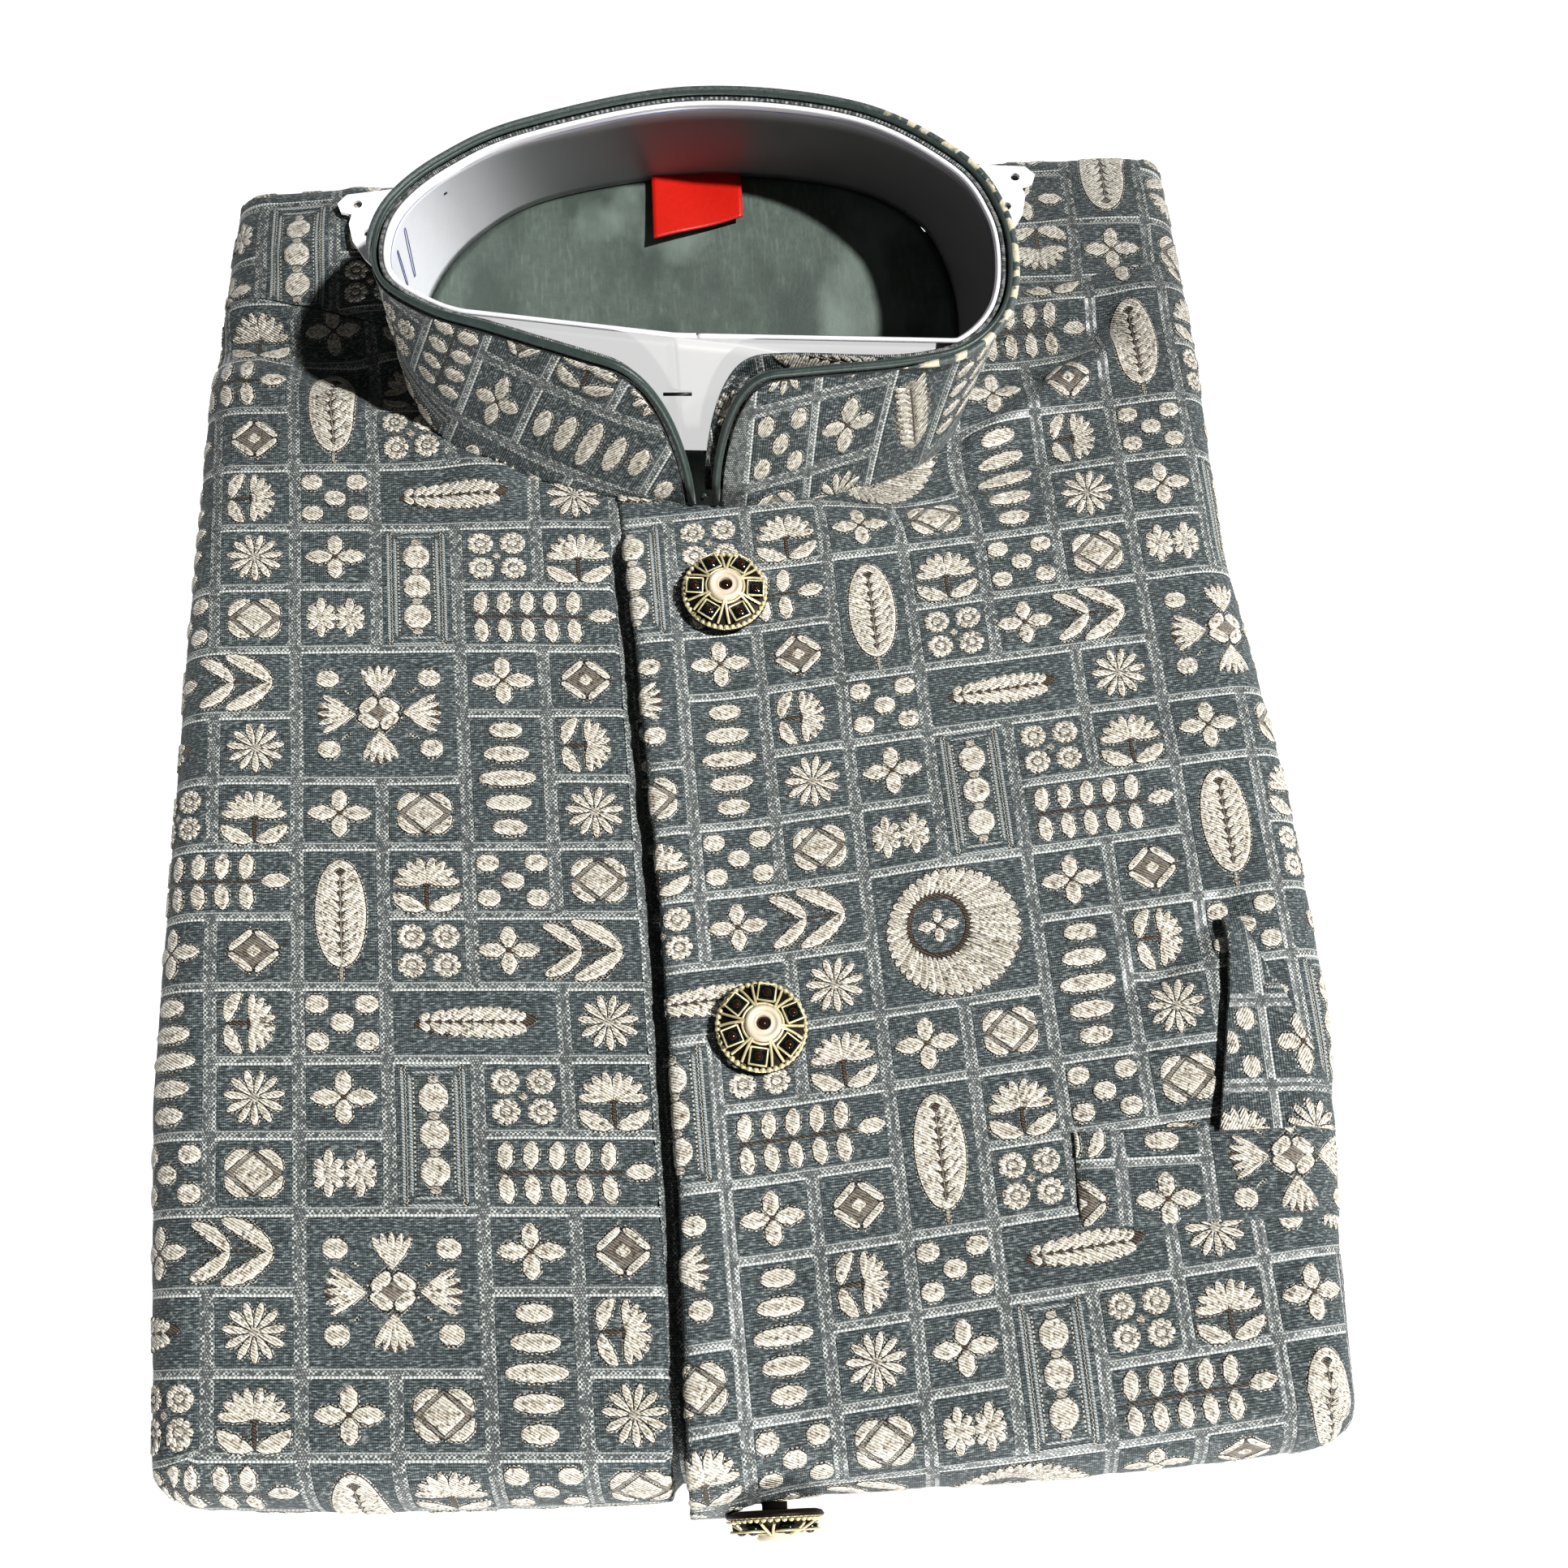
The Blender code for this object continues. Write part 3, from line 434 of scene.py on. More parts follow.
def body_surface(s, t, depth):
    """Cloth laid over the folded body: s across and t along, both run on round the folds."""
    near, far = near_end(s), FAR_Y - FAR_REACH
    flat_y = np.clip(t, near, far)
    edge = half_width(flat_y, s) - FOLD_REACH
    flat_x = np.clip(s, -edge, edge)
    side_run = np.maximum(np.abs(s) - edge, 0.0)
    end_run = np.maximum(np.maximum(near - t, t - far), 0.0)
    run = np.maximum(side_run, end_run)
    ratio = np.minimum(side_run, end_run) / np.maximum(run, 1e-9)
    heading = np.where(side_run >= end_run, 45.0 * ratio, 90.0 - 45.0 * ratio)
    heading = np.where(run > 0, heading, 0.0)
    at_far = t > far
    turn = np.radians(heading)
    towards_end = smooth(heading / 90.0)
    out, rise = (
        mix(
            read_table(SIDE_FOLD, run, column),
            np.where(at_far, read_table(FAR_FOLD, run, column), read_table(NEAR_FOLD, run, column)),
            towards_end,
        )
        for column in (1, 2)
    )
    high = top_height(flat_x, flat_y)
    low = LEAF_HEIGHT * (1.0 - towards_end)
    depth = np.where(depth < 0.0, depth * smooth(rise / LIFT_FADE_RISE), depth)
    reach_x = (FOLD_REACH - depth) * np.cos(turn) ** CORNER_POWER
    reach_y = (np.where(at_far, FAR_REACH, FOLD_REACH) - depth) * np.abs(np.sin(turn)) ** CORNER_POWER
    side, end = np.where(s > 0, 1.0, -1.0), np.where(t > 0, 1.0, -1.0)
    height = np.maximum(mix(low + np.maximum(depth, 0.0), high - depth, rise), 0.0)
    return np.column_stack((flat_x + side * reach_x * out, flat_y + end * reach_y * out, height))


def edge_at(y):
    return read_table(PLACKET_EDGE, y)


def closed_share(y):
    """0 along the open slit and 1 above it, where the fronts are sewn together."""
    return smooth((y - SLIT_TOP_Y) / SLIT_FADE)


def placket_lift(x, y):
    past = np.maximum(x - edge_at(y), 0.0)
    return -mix(PLACKET_LIFT, CLOSED_LIFT, closed_share(y)) * np.exp(-((past / LIFT_FADE) ** 2))


def placket_dip(x, y):
    """The recess that holds the underlap."""
    closed = closed_share(y)
    start = edge_at(y) - mix(RECESS, CLOSED_RECESS, closed)
    into = smooth((x - start) / RECESS_ROLL)
    out = smooth((x - edge_at(y) - UNDERLAP - GAP) / DIP_FADE)
    return mix(PLACKET_DIP, CLOSED_DIP, closed) * into * (1.0 - out)


def on_front_right(s, t):
    return body_surface(s, t, placket_dip(s, np.maximum(t, NEAR_Y)))


def on_chest(s, t):
    """The left front's outer face, as if it ran on past its edge."""
    return body_surface(s, t, placket_lift(s, t))


def on_front_left(s, t):
    """Past its edge the cloth turns under itself in a small roll."""
    edge = edge_at(t)
    over = np.maximum(edge - s, 0.0)
    points = on_chest(np.maximum(s, edge), t)
    turn = np.minimum(over / EDGE_ROLL, math.pi)
    back = np.maximum(over - math.pi * EDGE_ROLL, 0.0)
    points[:, 0] += back - EDGE_ROLL * np.sin(turn)
    points[:, 2] -= EDGE_ROLL * (1.0 - np.cos(turn))
    points[:, 2] = np.maximum(points[:, 2], np.where(over > 0.0, TUCK_CLEAR, 0.0))
    return points


def on_back(s, t):
    return body_surface(s, t, np.zeros_like(s))


# The collar's surfaces


RING_PATH = curve(COLLAR, np.linspace(0, len(COLLAR), 201))[:, :2]
RING_LENGTH = float(np.hypot(*np.diff(RING_PATH, axis=0).T).sum())
LATTICES["collar_stand_end"] = (
    (0.00754, 0.0450, 3.112 - 0.00754 * RING_LENGTH), (0.0462, -0.0285, 5.912 - 0.0462 * RING_LENGTH),
)


def ring_surface(run, rise, inset):
    """run is the way round from the opening, rise is 0 at the seam and 1 at the rim."""
    row = run / RING_LENGTH * len(COLLAR)
    rise = np.broadcast_to(rise, len(run))

    def at(place):
        rows = curve(COLLAR, place)
        return mix(rows[:, :2], rows[:, 2:], np.maximum(rise, 0.0)[:, None])

    here = at(row)
    along = at(row + 0.02) - at(row - 0.02)
    along /= np.hypot(*along.T)[:, None]
    foot = SEAM_Z + BACK_SEAM_RISE * smooth((here[:, 1] - NECK_CENTRE[1]) / BACK_SEAM_REACH)
    x = here[:, 0] - inset * along[:, 1]
    y = here[:, 1] + inset * along[:, 0]
    return np.column_stack((x, y, mix(foot, RIM_Z, rise)))


def end_height(distance):
    """The rounded front end's height for a distance from the opening."""
    share = np.clip(distance / END_ROUNDING, 0.0, 1.0)
    return (1.0 - (1.0 - share) ** END_POWERS[0]) ** END_POWERS[1]


def facing_inset(run):
    off = 1.0 - smooth((run - END_ROUNDING) / (FACING_OFF_END - END_ROUNDING))
    return STAND_WALL + GAP + FACING_OFF * off


def band_surface(run, rise):
    """The white strip inside the facing, which cuts straight across behind the opening."""
    inset = facing_inset(run) + FACING_WALL + BAND_ROOM
    foot_at = ring_surface(run, 0.0, inset)
    foot = np.maximum(lining_height(foot_at[:, 1]) + BAND_ROOM, BAND_LEAST_FOOT)
    seam_z = foot_at[:, 2]
    place = ring_surface(run, (mix(foot, BAND_RIM_Z, rise) - seam_z) / (RIM_Z - seam_z), inset)
    x, y = place[:, 0], place[:, 1]
    chord = mix(read_table(BAND_CHORD, x, 2), read_table(BAND_CHORD, x, 1), rise)
    place[:, 1] = np.where(y < NECK_CENTRE[1], np.maximum(y, chord), y)
    return place


def neck_radius(turn):
    """How far the collar's seam is from the neck's middle in a direction."""
    seam = RING_PATH[:-1] - NECK_CENTRE
    return np.interp(turn, np.arctan2(seam[:, 1], seam[:, 0]), np.hypot(*seam.T), period=math.tau)


def towards_neck(places):
    """Level directions from places on the collar to the neck's middle."""
    ways = np.column_stack((NECK_CENTRE - places[:, :2], np.zeros(len(places))))
    return ways / np.linalg.norm(ways, axis=1)[:, None]


def lining_height(y):
    share = smooth((y - LINING_FRONT[0]) / (LINING_BACK[0] - LINING_FRONT[0]))
    return mix(LINING_FRONT[1], LINING_BACK[1], share)


# Pieces from arrays


def normals_of(place, s, t, step=0.35):
    across = place(s + step, t) - place(s - step, t)
    along = place(s, t + step) - place(s, t - step)
    normal = np.cross(across, along)
    return normal / np.maximum(np.linalg.norm(normal, axis=1), 1e-9)[:, None]


def make_piece(name, points, faces, look, uv, nodes=(), wall=0.0, values=None, even=True):
    """A piece that rides on the part, from points in millimetres and four-cornered faces.

    It stands for the nodes, wall thickens it inwards, and values are numbers for each point.
    """
    used, faces = np.unique(faces, return_inverse=True)
    faces = faces.reshape(-1, 4)
    mesh = bpy.data.meshes.new(name)
    mesh.vertices.add(len(used))
    placed = (points[used] - (0.0, BOX_MIDDLE_Y, 0.0)) * MM
    mesh.vertices.foreach_set("co", placed.astype(np.float32).ravel())
    mesh.loops.add(faces.size)
    mesh.loops.foreach_set("vertex_index", faces.astype(np.int32).ravel())
    mesh.polygons.add(len(faces))
    mesh.polygons.foreach_set("loop_start", np.arange(0, faces.size, 4, dtype=np.int32))
    layer = mesh.uv_layers.new(name="cloth")
    layer.data.foreach_set("uv", uv[used][faces.ravel()].astype(np.float32).ravel())
    for key, value in (values or {}).items():
        attribute = mesh.attributes.new(key, "FLOAT", "POINT")
        attribute.data.foreach_set("value", value[used].astype(np.float32))
    mesh.update(calc_edges=True)
    mesh.validate()
    if even:
        mesh.shade_smooth()
    mesh.materials.append(LOOKS[look])
    piece = bpy.data.objects.new(name, mesh)
    bpy.context.scene.collection.objects.link(piece)
    if wall:
        shell = piece.modifiers.new("wall", "SOLIDIFY")
        shell.thickness = wall * MM
        shell.offset = -1.0
    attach(piece, "root")
    if nodes:
        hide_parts(*nodes)
    return piece


def make_cord(name, path, radius, look, sides=8, nodes=()):
    """A round cord along a path, with closed ends."""
    points, faces, ways = tube(path, radius, sides)
    mesh = make_piece(name, points, faces, look, ways, nodes).data
    shape = bmesh.new()
    shape.from_mesh(mesh)
    bmesh.ops.remove_doubles(shape, verts=shape.verts, dist=1e-7)
    bmesh.ops.holes_fill(shape, edges=[edge for edge in shape.edges if edge.is_boundary], sides=0)
    bmesh.ops.recalc_face_normals(shape, faces=shape.faces[:])
    shape.to_mesh(mesh)
    shape.free()


# The brocade's motifs, as stamps in millimetres: x to the wearer's left, y up towards the collar


class Stamp:
    """Raised threads as they are drawn, before they are laid on cloth.

    Each of their points has a place, a height, its closeness to the thread's middle and a tint.
    """

    # across a strip: place, share of the fringe, height and closeness to the middle
    FRINGED = np.array((
        (-1.0, -1.0, 0.0, -1.0), (-1.0, 0.0, 0.50, 0.0), (-0.62, 0.0, 0.93, 1.0), (0.0, 0.0, 1.0, 2.0),
        (0.62, 0.0, 0.93, 1.0), (1.0, 0.0, 0.50, 0.0), (1.0, 1.0, 0.0, -1.0),
    )).T
    PLAIN = np.array(((-1.0, 0.0, 0.35, 0.0), (0.0, 0.0, 1.0, 2.0), (1.0, 0.0, 0.35, 0.0))).T

    def __init__(self, drawing, *size):
        self.shapes = []
        drawing(self, *size)
        self.points, self.faces = join(self.shapes)

    def strip(self, path, half, height, tint=0.0, fringe=0.5, rim=0.0):
        """A domed strip along a path, half as wide as half says, with a dark fringe at its borders: partly
        the weave's outline, partly painted shadow round the raised thread.
        """
        closed = np.allclose(path[0], path[-1])
        along = np.gradient(path, axis=0)
        if closed:
            along[0] = along[-1] = path[1] - path[-2]
        along /= np.maximum(np.hypot(*along.T), 1e-9)[:, None]
        out = np.column_stack((-along[:, 1], along[:, 0]))
        inside = np.ones((len(path), 1))
        if not closed:
            inside[0] = inside[-1] = 0.0
        across, fringes, domes, rims = self.FRINGED if fringe else self.PLAIN
        away = np.broadcast_to(half, len(path))[:, None] * across + fringe * fringes
        places = path[:, None, :] + out[:, None, :] * away[:, :, None]
        rims = np.where(inside > 0, rims + rim, -0.6)
        heights = height * inside * domes
        points = np.column_stack((
            places.reshape(-1, 2), heights.ravel(), rims.ravel(), np.full(rims.size, tint),
        ))
        self.shapes.append((points, grid_faces(len(path), len(across))))

    def leaf(
        self, x, y, turn, length, width, height=0.42, sharp=0.8, bend=0.0, tint=0.0, teeth=0.16, lean=1.0,
        fringe=0.5,
    ):
        """A pointed leaf from its foot at x, y; bend bows it sideways and lean widens it towards its tip."""
        rows = max(5, int(round(length / 0.75)) | 1)
        share = (1.0 - np.cos(np.linspace(0.0, math.pi, rows))) / 2
        bow = bend * 4.0 * share * (1.0 - share)
        cos, sin = math.cos(math.radians(turn)), math.sin(math.radians(turn))
        path = np.column_stack((x + cos * share * length - sin * bow, y + sin * share * length + cos * bow))
        half = width / 2 * np.maximum(np.sin(math.pi * np.clip(share, 0.0, 1.0) ** lean), 0.0) ** sharp
        half[1:-1] *= 1.0 - teeth * (np.arange(rows - 2) % 2)
        self.strip(path, np.maximum(half, 0.04), height, tint, fringe)

    def disc(self, x, y, across, along, height=0.42, tint=0.0, fringe=0.5):
        """A round or oval patch, half as large as across and along say."""
        rows = max(9, int(round(across / 0.42)) | 1)
        turn = np.linspace(0.0, math.pi, rows)
        half = along * np.sin(turn)
        half[1:-1] *= 1.0 - 0.12 * (np.arange(rows - 2) % 2)
        path = np.column_stack((x - across * np.cos(turn), np.full(rows, y)))
        self.strip(path, np.maximum(half, 0.05), height, tint, fringe)

    def petals(self, x, y, angles, inner, reach_x, reach_y, width, **more):
        """Petals that lean out from a middle to an oval's edge."""
        for angle in angles:
            cos, sin = math.cos(math.radians(angle)), math.sin(math.radians(angle))
            reach = 1.0 / math.hypot(cos / reach_x, sin / reach_y)
            self.leaf(x + inner * cos, y + inner * sin, angle, reach - inner, width, **more)

    def line(self, x, y, to_x, to_y, width=0.5, height=0.12, tint=0.0, fringe=0.0, rim=0.0):
        path = np.linspace((x, y), (to_x, to_y), max(3, int(math.hypot(to_x - x, to_y - y) / 1.5)))
        self.strip(path, width / 2, height, tint, fringe, rim)

    def hoop(self, x, y, radius_x, radius_y, width, height=0.40, tint=0.0):
        rows = max(12, int(math.tau * max(radius_x, radius_y) / 0.9))
        turn = np.linspace(0.0, math.tau, rows + 1)
        path = np.column_stack((x + radius_x * np.cos(turn), y + radius_y * np.sin(turn)))
        self.strip(path, width / 2, height, tint)

    def diamond(self, x, y, across, along, height=0.40, tint=0.0, fringe=0.5):
        share = np.linspace(-1.0, 1.0, 9)
        path = np.column_stack((x + share * across, np.full(9, y)))
        self.strip(path, np.maximum(along * (1.0 - np.abs(share)), 0.05), height, tint, fringe)


# Tints, what marks a thread of ticks, and the height of the dark ground under a motif
BROWN = 0.75
DARK = 1.0
TICKS = -3.0
BASE_HEIGHT = 0.10


def corners(x, y):
    return [(corner_x, corner_y) for corner_x in (-x, x) for corner_y in (-y, y)]


def half_cell(columns, rows):
    return np.array(((columns * CELL_X - BAND_X) / 2, (rows * CELL_Y - BAND_Y) / 2))


def cell(stamp, columns, rows):
    """A flat cell with rounded corners."""
    half = half_cell(columns, rows)
    inner = half - CELL_CORNER
    across, along = (
        np.linspace(-reach, reach, max(5, int(2 * reach / size)) + 1) for reach, size in zip(half, (1.1, 1.6))
    )
    x, y, faces = spread(across, along)
    places = np.column_stack((x, y))
    border = (np.abs(places) > half - 1e-6).any(axis=1)
    over = np.maximum(np.abs(places) - inner, 0.0)
    pull = np.where(over.all(axis=1), over.max(axis=1) / np.maximum(np.hypot(*over.T), 1e-9), 1.0)
    places = np.sign(places) * (np.minimum(np.abs(places), inner) + over * pull[:, None])
    rims = np.where(border, 0.0, 1.0)
    stamp.shapes.append((np.column_stack((places, CELL_LIFT * rims, rims, np.zeros(len(x)))), faces))


def cell_lines(stamp, columns, rows):
    """The thin bright lines along a cell's top and bottom, and fainter ones at its sides."""
    half_x, half_y = half_cell(columns, rows)
    for side, width, tint in ((-1, 0.34, 0.6), (1, 0.50, 0.0)):
        x, y = side * (half_x + 0.62), side * (half_y + 0.30)
        stamp.line(-half_x - 0.5, y, half_x + 0.5, y, width, 0.16, tint)
        stamp.line(x, -half_y, x, half_y, 1.05, 0.03, rim=TICKS)
    stamp.line(-half_x, half_y + 1.15, half_x, half_y + 1.15, 1.05, 0.03, rim=TICKS)


def daisy(stamp):
    stamp.disc(0, 0, 5.0, 4.6, BASE_HEIGHT, DARK)
    stamp.petals(0, 0, range(8, 368, 33), 0.9, 7.2, 6.7, 1.95, sharp=0.5, lean=1.4)
    stamp.disc(0, 0, 1.3, 1.2, 0.5, 0.4)


def medallion(stamp):
    stamp.disc(0, 0, 6.2, 5.2, BASE_HEIGHT, 0.7)
    for x, y in corners(1, 1):
        turn = math.degrees(math.atan2(4.5 * y, -5.4 * x))
        stamp.leaf(6.4 * x, 0.5 * y, turn, 7.0, 2.7, bend=-1.15 * x * y, sharp=0.6)
    stamp.diamond(0, 0, 4.9, 4.4, 0.5, 0.1)


def diamond(stamp):
    for x, y in corners(6.3, 5.4):
        stamp.line(x, 0, 0, y, 1.7, 0.44, fringe=0.45)
    stamp.diamond(0, 0, 4.9, 4.2, 0.26, 0.8, fringe=0.0)
    stamp.diamond(0, 0, 2.0, 1.7, 0.36, fringe=0.3)


def four_petal(stamp, x=0.0, y=0.0, size=1.0):
    for turn in (0, 90, 180, 270):
        length, width, sharp = (5.8, 4.5, 0.6) if turn % 180 else (7.3, 4.3, 0.8)
        foot = x + 0.5 * math.cos(math.radians(turn)), y + 0.5 * math.sin(math.radians(turn))
        stamp.leaf(*foot, turn, length * size, width * size, sharp=sharp)
    stamp.diamond(x, y, 1.3 * size, 1.2 * size, 0.4, DARK, fringe=0.0)


def five_dots(stamp):
    for x, y in corners(5.8, 4.4):
        stamp.disc(x, y, 2.8, 2.4)
    stamp.disc(0, 0, 2.85, 2.35, 0.48)


def double_blossom(stamp):
    for side, start in ((-1, 180), (1, 0)):
        x = 3.6 * side
        stamp.disc(x, 0, 2.8, 4.2, BASE_HEIGHT, DARK)
        stamp.petals(x, 0, range(start, start + 360, 45), 0.7, 3.8, 5.5, 2.5, sharp=0.55, lean=1.3)
        stamp.disc(x, 0, 1.2, 1.2, 0.5, 0.3)


def lotus(stamp, turn=0.0, size=1.0):
    """A fan of petals over a short stem and two leaves; turn lays it on its side."""
    cos, sin = math.cos(math.radians(turn)), math.sin(math.radians(turn))

    def leaf(x, y, angle, length, width, **more):
        place = size * (cos * x - sin * y), size * (sin * x + cos * y)
        stamp.leaf(*place, angle + turn, size * length, size * width, **more)

    leaf(-5.6, 0.4, 0, 11.2, 4.2, tint=DARK, height=BASE_HEIGHT)
    for angle in (6, 31, 54, 77, 103, 126, 149, 174):
        way = math.radians(angle)
        length = 1.0 / math.hypot(math.cos(way) / 8.0, math.sin(way) / 7.6)
        leaf(0.8 * math.cos(way), -0.9, angle, length - 0.8, 2.3, sharp=0.5, lean=1.5)
    leaf(0.0, -7.2, 90, 6.4, 0.9, tint=DARK, height=0.12, teeth=0.0)
    for side in (-1, 1):
        leaf(0.3 * side, -6.9, 90 - 64 * side, 8.6, 4.1, bend=-0.9 * side, sharp=0.65)


def side_lotus(stamp):
    lotus(stamp, -90.0, 0.88)


def spray(stamp):
    stamp.line(-17.5, 0, 12.5, 0, 0.6, 0.1, DARK)
    for x in np.arange(5) * 5.8 - 15.2:
        for side in (1, -1):
            stamp.leaf(x, 0.5 * side, 84 * side, 6.6, 4.1, sharp=0.65)
    stamp.leaf(11.8, 0, 4, 7.0, 4.1, sharp=0.7)


def chevrons(stamp):
    four_petal(stamp, -12.0, 0.0, 0.95)
    for x, y, tip_x, width in ((-3.8, 6.1, 5.0, 3.5), (3.0, 7.0, 14.6, 4.0)):
        for side in (-1, 1):
            length = math.hypot(tip_x - x, y)
            turn = math.degrees(math.atan2(-y * side, tip_x - x))
            for wider, height, tint in ((0.9, BASE_HEIGHT, DARK), (0.0, 0.42, 0.0)):
                stamp.leaf(x, y * side, turn, length, width + wider, height, 0.5, 0.9 * side, tint)
        stamp.line(x + 1.5, 0.0, tip_x - 1.5, 0.0, 0.5, 0.2, DARK)


def snowflake(stamp):
    for x, y in corners(1, 1):
        stamp.line(5.2 * x, 0, 0, 4.1 * y, 3.0, 0.44, fringe=0.5)
        stamp.line(5.5 * x, 4.305 * y, 10.6 * x, 7.38 * y, 0.9, 0.06, rim=TICKS)
        stamp.disc(12.6 * x, 9.3 * y, 2.9, 2.5)
    stamp.diamond(0, 0, 3.1, 2.3, 0.34, BROWN, fringe=0.1)
    for turn, start, reach in ((0, 5.9, 9.5), (180, 5.9, 9.5), (90, 4.7, 8.3), (270, 4.7, 8.3)):
        way = math.radians(turn)
        foot = start * math.cos(way), start * math.sin(way)
        stamp.leaf(*foot, turn, reach, 5.4, BASE_HEIGHT, 0.6, tint=DARK, lean=1.5)
        for aside in (-31, -16, 0, 16, 31):
            stamp.leaf(*foot, turn + aside, reach, 1.8, sharp=0.6, lean=1.5, fringe=0.35)


def great_ring(stamp):
    """A broad ring of radial threads, its hole off its middle, round a small star."""
    hole_x, hole_y = -3.7, 2.1
    stamp.hoop(hole_x, hole_y, 7.4, 7.6, 1.2, BASE_HEIGHT, DARK)
    for rib in range(44):
        way = math.tau * rib / 44
        inner = np.array((hole_x + 7.3 * math.cos(way), hole_y + 7.5 * math.sin(way)))
        outer = np.array((17.3 * math.cos(way), 16.2 * math.sin(way)))
        share = np.linspace(0.0, 1.0, max(5, int(np.hypot(*(outer - inner)) / 1.4)))
        half = mix(0.50, 1.20, share) * np.where((share > 0) & (share < 1), 1.0, 0.5)
        stamp.strip(mix(inner, outer, share[:, None]), half, 0.42, 0.14 * (rib % 3), 0.12)
    four_petal(stamp, hole_x, hole_y, 0.66)


def tall_leaf(stamp):
    """A broad leaf over two rows, its side veins rising from the middle."""
    stamp.leaf(0, -12.6, 90, 26.4, 10.6, BASE_HEIGHT, 0.55, tint=DARK, teeth=0.0)
    stamp.hoop(0, 0.6, 5.1, 12.3, 2.0, 0.42)
    for step in range(9):
        foot = -11.4 + 2.5 * step
        room = 4.9 * math.sqrt(max(1.0 - ((foot + 2.2 - 0.6) / 12.6) ** 2, 0.05))
        for side in (-1, 1):
            length = room / math.sin(math.radians(46))
            stamp.leaf(0.2 * side, foot, 90 - 46 * side, length, 2.2, 0.48, sharp=0.45, fringe=0.32)
    stamp.line(0, -12.5, 0, 10.5, 0.3, 0.44, 0.6)
    stamp.leaf(0, -16.4, 90, 4.4, 0.9, 0.2, teeth=0.0, tint=0.4)


def long_leaf(stamp):
    """A slim leaf over two columns."""
    stamp.leaf(-14.2, -0.7, 3, 28.6, 7.0, 0.12, sharp=0.6, tint=DARK)
    for step in range(10):
        foot = -12.8 + 2.45 * step
        room = 3.7 * math.sin(math.pi * min(max((foot + 15.8) / 28.6, 0.03), 0.97)) ** 0.6
        for side in (-1, 1):
            stamp.leaf(foot, 0.2 * side, 36 * side, room * 1.6, 2.2, 0.44, sharp=0.5, fringe=0.3)
    stamp.line(-12.5, -0.4, 11.5, 0.5, 0.5, 0.38, DARK)


def upright_leaf(stamp):
    """A blunt leaf that stands along the collar's height."""
    stamp.leaf(-11.4, -3.9, 19, 24.0, 9.6, 0.2, sharp=0.45, tint=0.5)
    for step in range(10):
        foot = -10.0 + 2.0 * step
        for side in (-1, 1):
            place = foot, 0.34 * foot + 0.3 * side
            stamp.leaf(*place, 19 + 42 * side, 5.4, 1.8, 0.42, sharp=0.55, fringe=0.3)
    stamp.line(-10.4, -3.6, 10.4, 3.6, 0.4, 0.38, DARK)


def beads(stamp):
    for half_x, half_y in ((7.1, 16.0), (5.3, 14.4)):
        for side in (-1, 1):
            x, y = side * half_x, side * half_y
            stamp.line(x, -half_y, x, half_y, 0.7, 0.16, -1.0)
            stamp.line(-half_x, y, half_x, y, 0.6, 0.16, -1.0)
            stamp.line(x - 0.8 * side, -half_y, x - 0.8 * side, half_y, 0.5, 0.05, rim=TICKS)
    for y in (-8.5, 0.0, 8.5):
        stamp.disc(0, y, 3.5, 3.7, 0.5)
    for y in (-12.7, -4.25, 4.25, 12.7):
        stamp.disc(0, y, 1.3, 1.0, 0.3, 0.3)


def rosettes(stamp):
    for x, y in corners(4.1, 3.5):
        stamp.disc(x, y, 2.6, 2.3, BASE_HEIGHT, 0.6, fringe=0.0)
        stamp.petals(x, y, range(0, 360, 40), 1.3, 3.5, 3.1, 2.1, sharp=0.45, lean=1.2, fringe=0.4)
        stamp.disc(x, y, 1.15, 1.0, 0.40, fringe=0.15)
    stamp.diamond(0, 0, 1.2, 1.0, 0.2, 0.3)


def lozenges(stamp):
    for place, half in zip((12.7, 6.4, 0.0, -6.4, -12.7), (4.2, 5.6, 7.0, 5.6, 4.2)):
        stamp.disc(0, place, half, 2.25, 0.46)
    for place in (9.6, 3.2, -3.2, -9.6):
        for x in (-1.6, 0.0, 1.6):
            stamp.line(x, place - 1.1, x, place + 1.1, 0.4, 0.06, DARK)


# Motifs by the columns and rows that they fill
DRAWINGS = {
    (1, 1): (
        daisy, medallion, diamond, four_petal, five_dots, double_blossom, lotus, side_lotus, rosettes,
    ),
    (2, 1): (spray, chevrons, long_leaf, upright_leaf),
    (1, 2): (tall_leaf, beads, lozenges),
    (2, 2): (snowflake, great_ring),
}
MOTIFS = {
    drawing.__name__: (drawing, size) for size, drawings in DRAWINGS.items() for drawing in drawings
}

# One block of the repeat; the next block across starts half a block lower
BLOCK_COLUMNS = 4
BLOCK_ROWS = 8
CHART = (
    # motif, column, row, of its top left cell
    ("side_lotus", 0, 0),
    ("daisy", 0, 1),
    ("medallion", 0, 2),
    ("daisy", 0, 4),
    ("lotus", 0, 5),
    ("diamond", 0, 7),
    ("five_dots", 1, 0),
    ("four_petal", 1, 1),
    ("double_blossom", 1, 2),
    ("great", 1, 3),
    ("four_petal", 1, 5),
    ("tall_leaf", 1, 6),
    ("long_leaf", 2, 0),
    ("beads", 2, 1),
    ("medallion", 2, 5),
    ("lotus", 2, 6),
    ("rosettes", 2, 7),
    ("rosettes", 3, 1),
    ("spray", 3, 2),
    ("four_petal", 3, 3),
    ("lozenges", 3, 4),
    ("five_dots", 3, 6),
    ("chevrons", 3, 7),
)
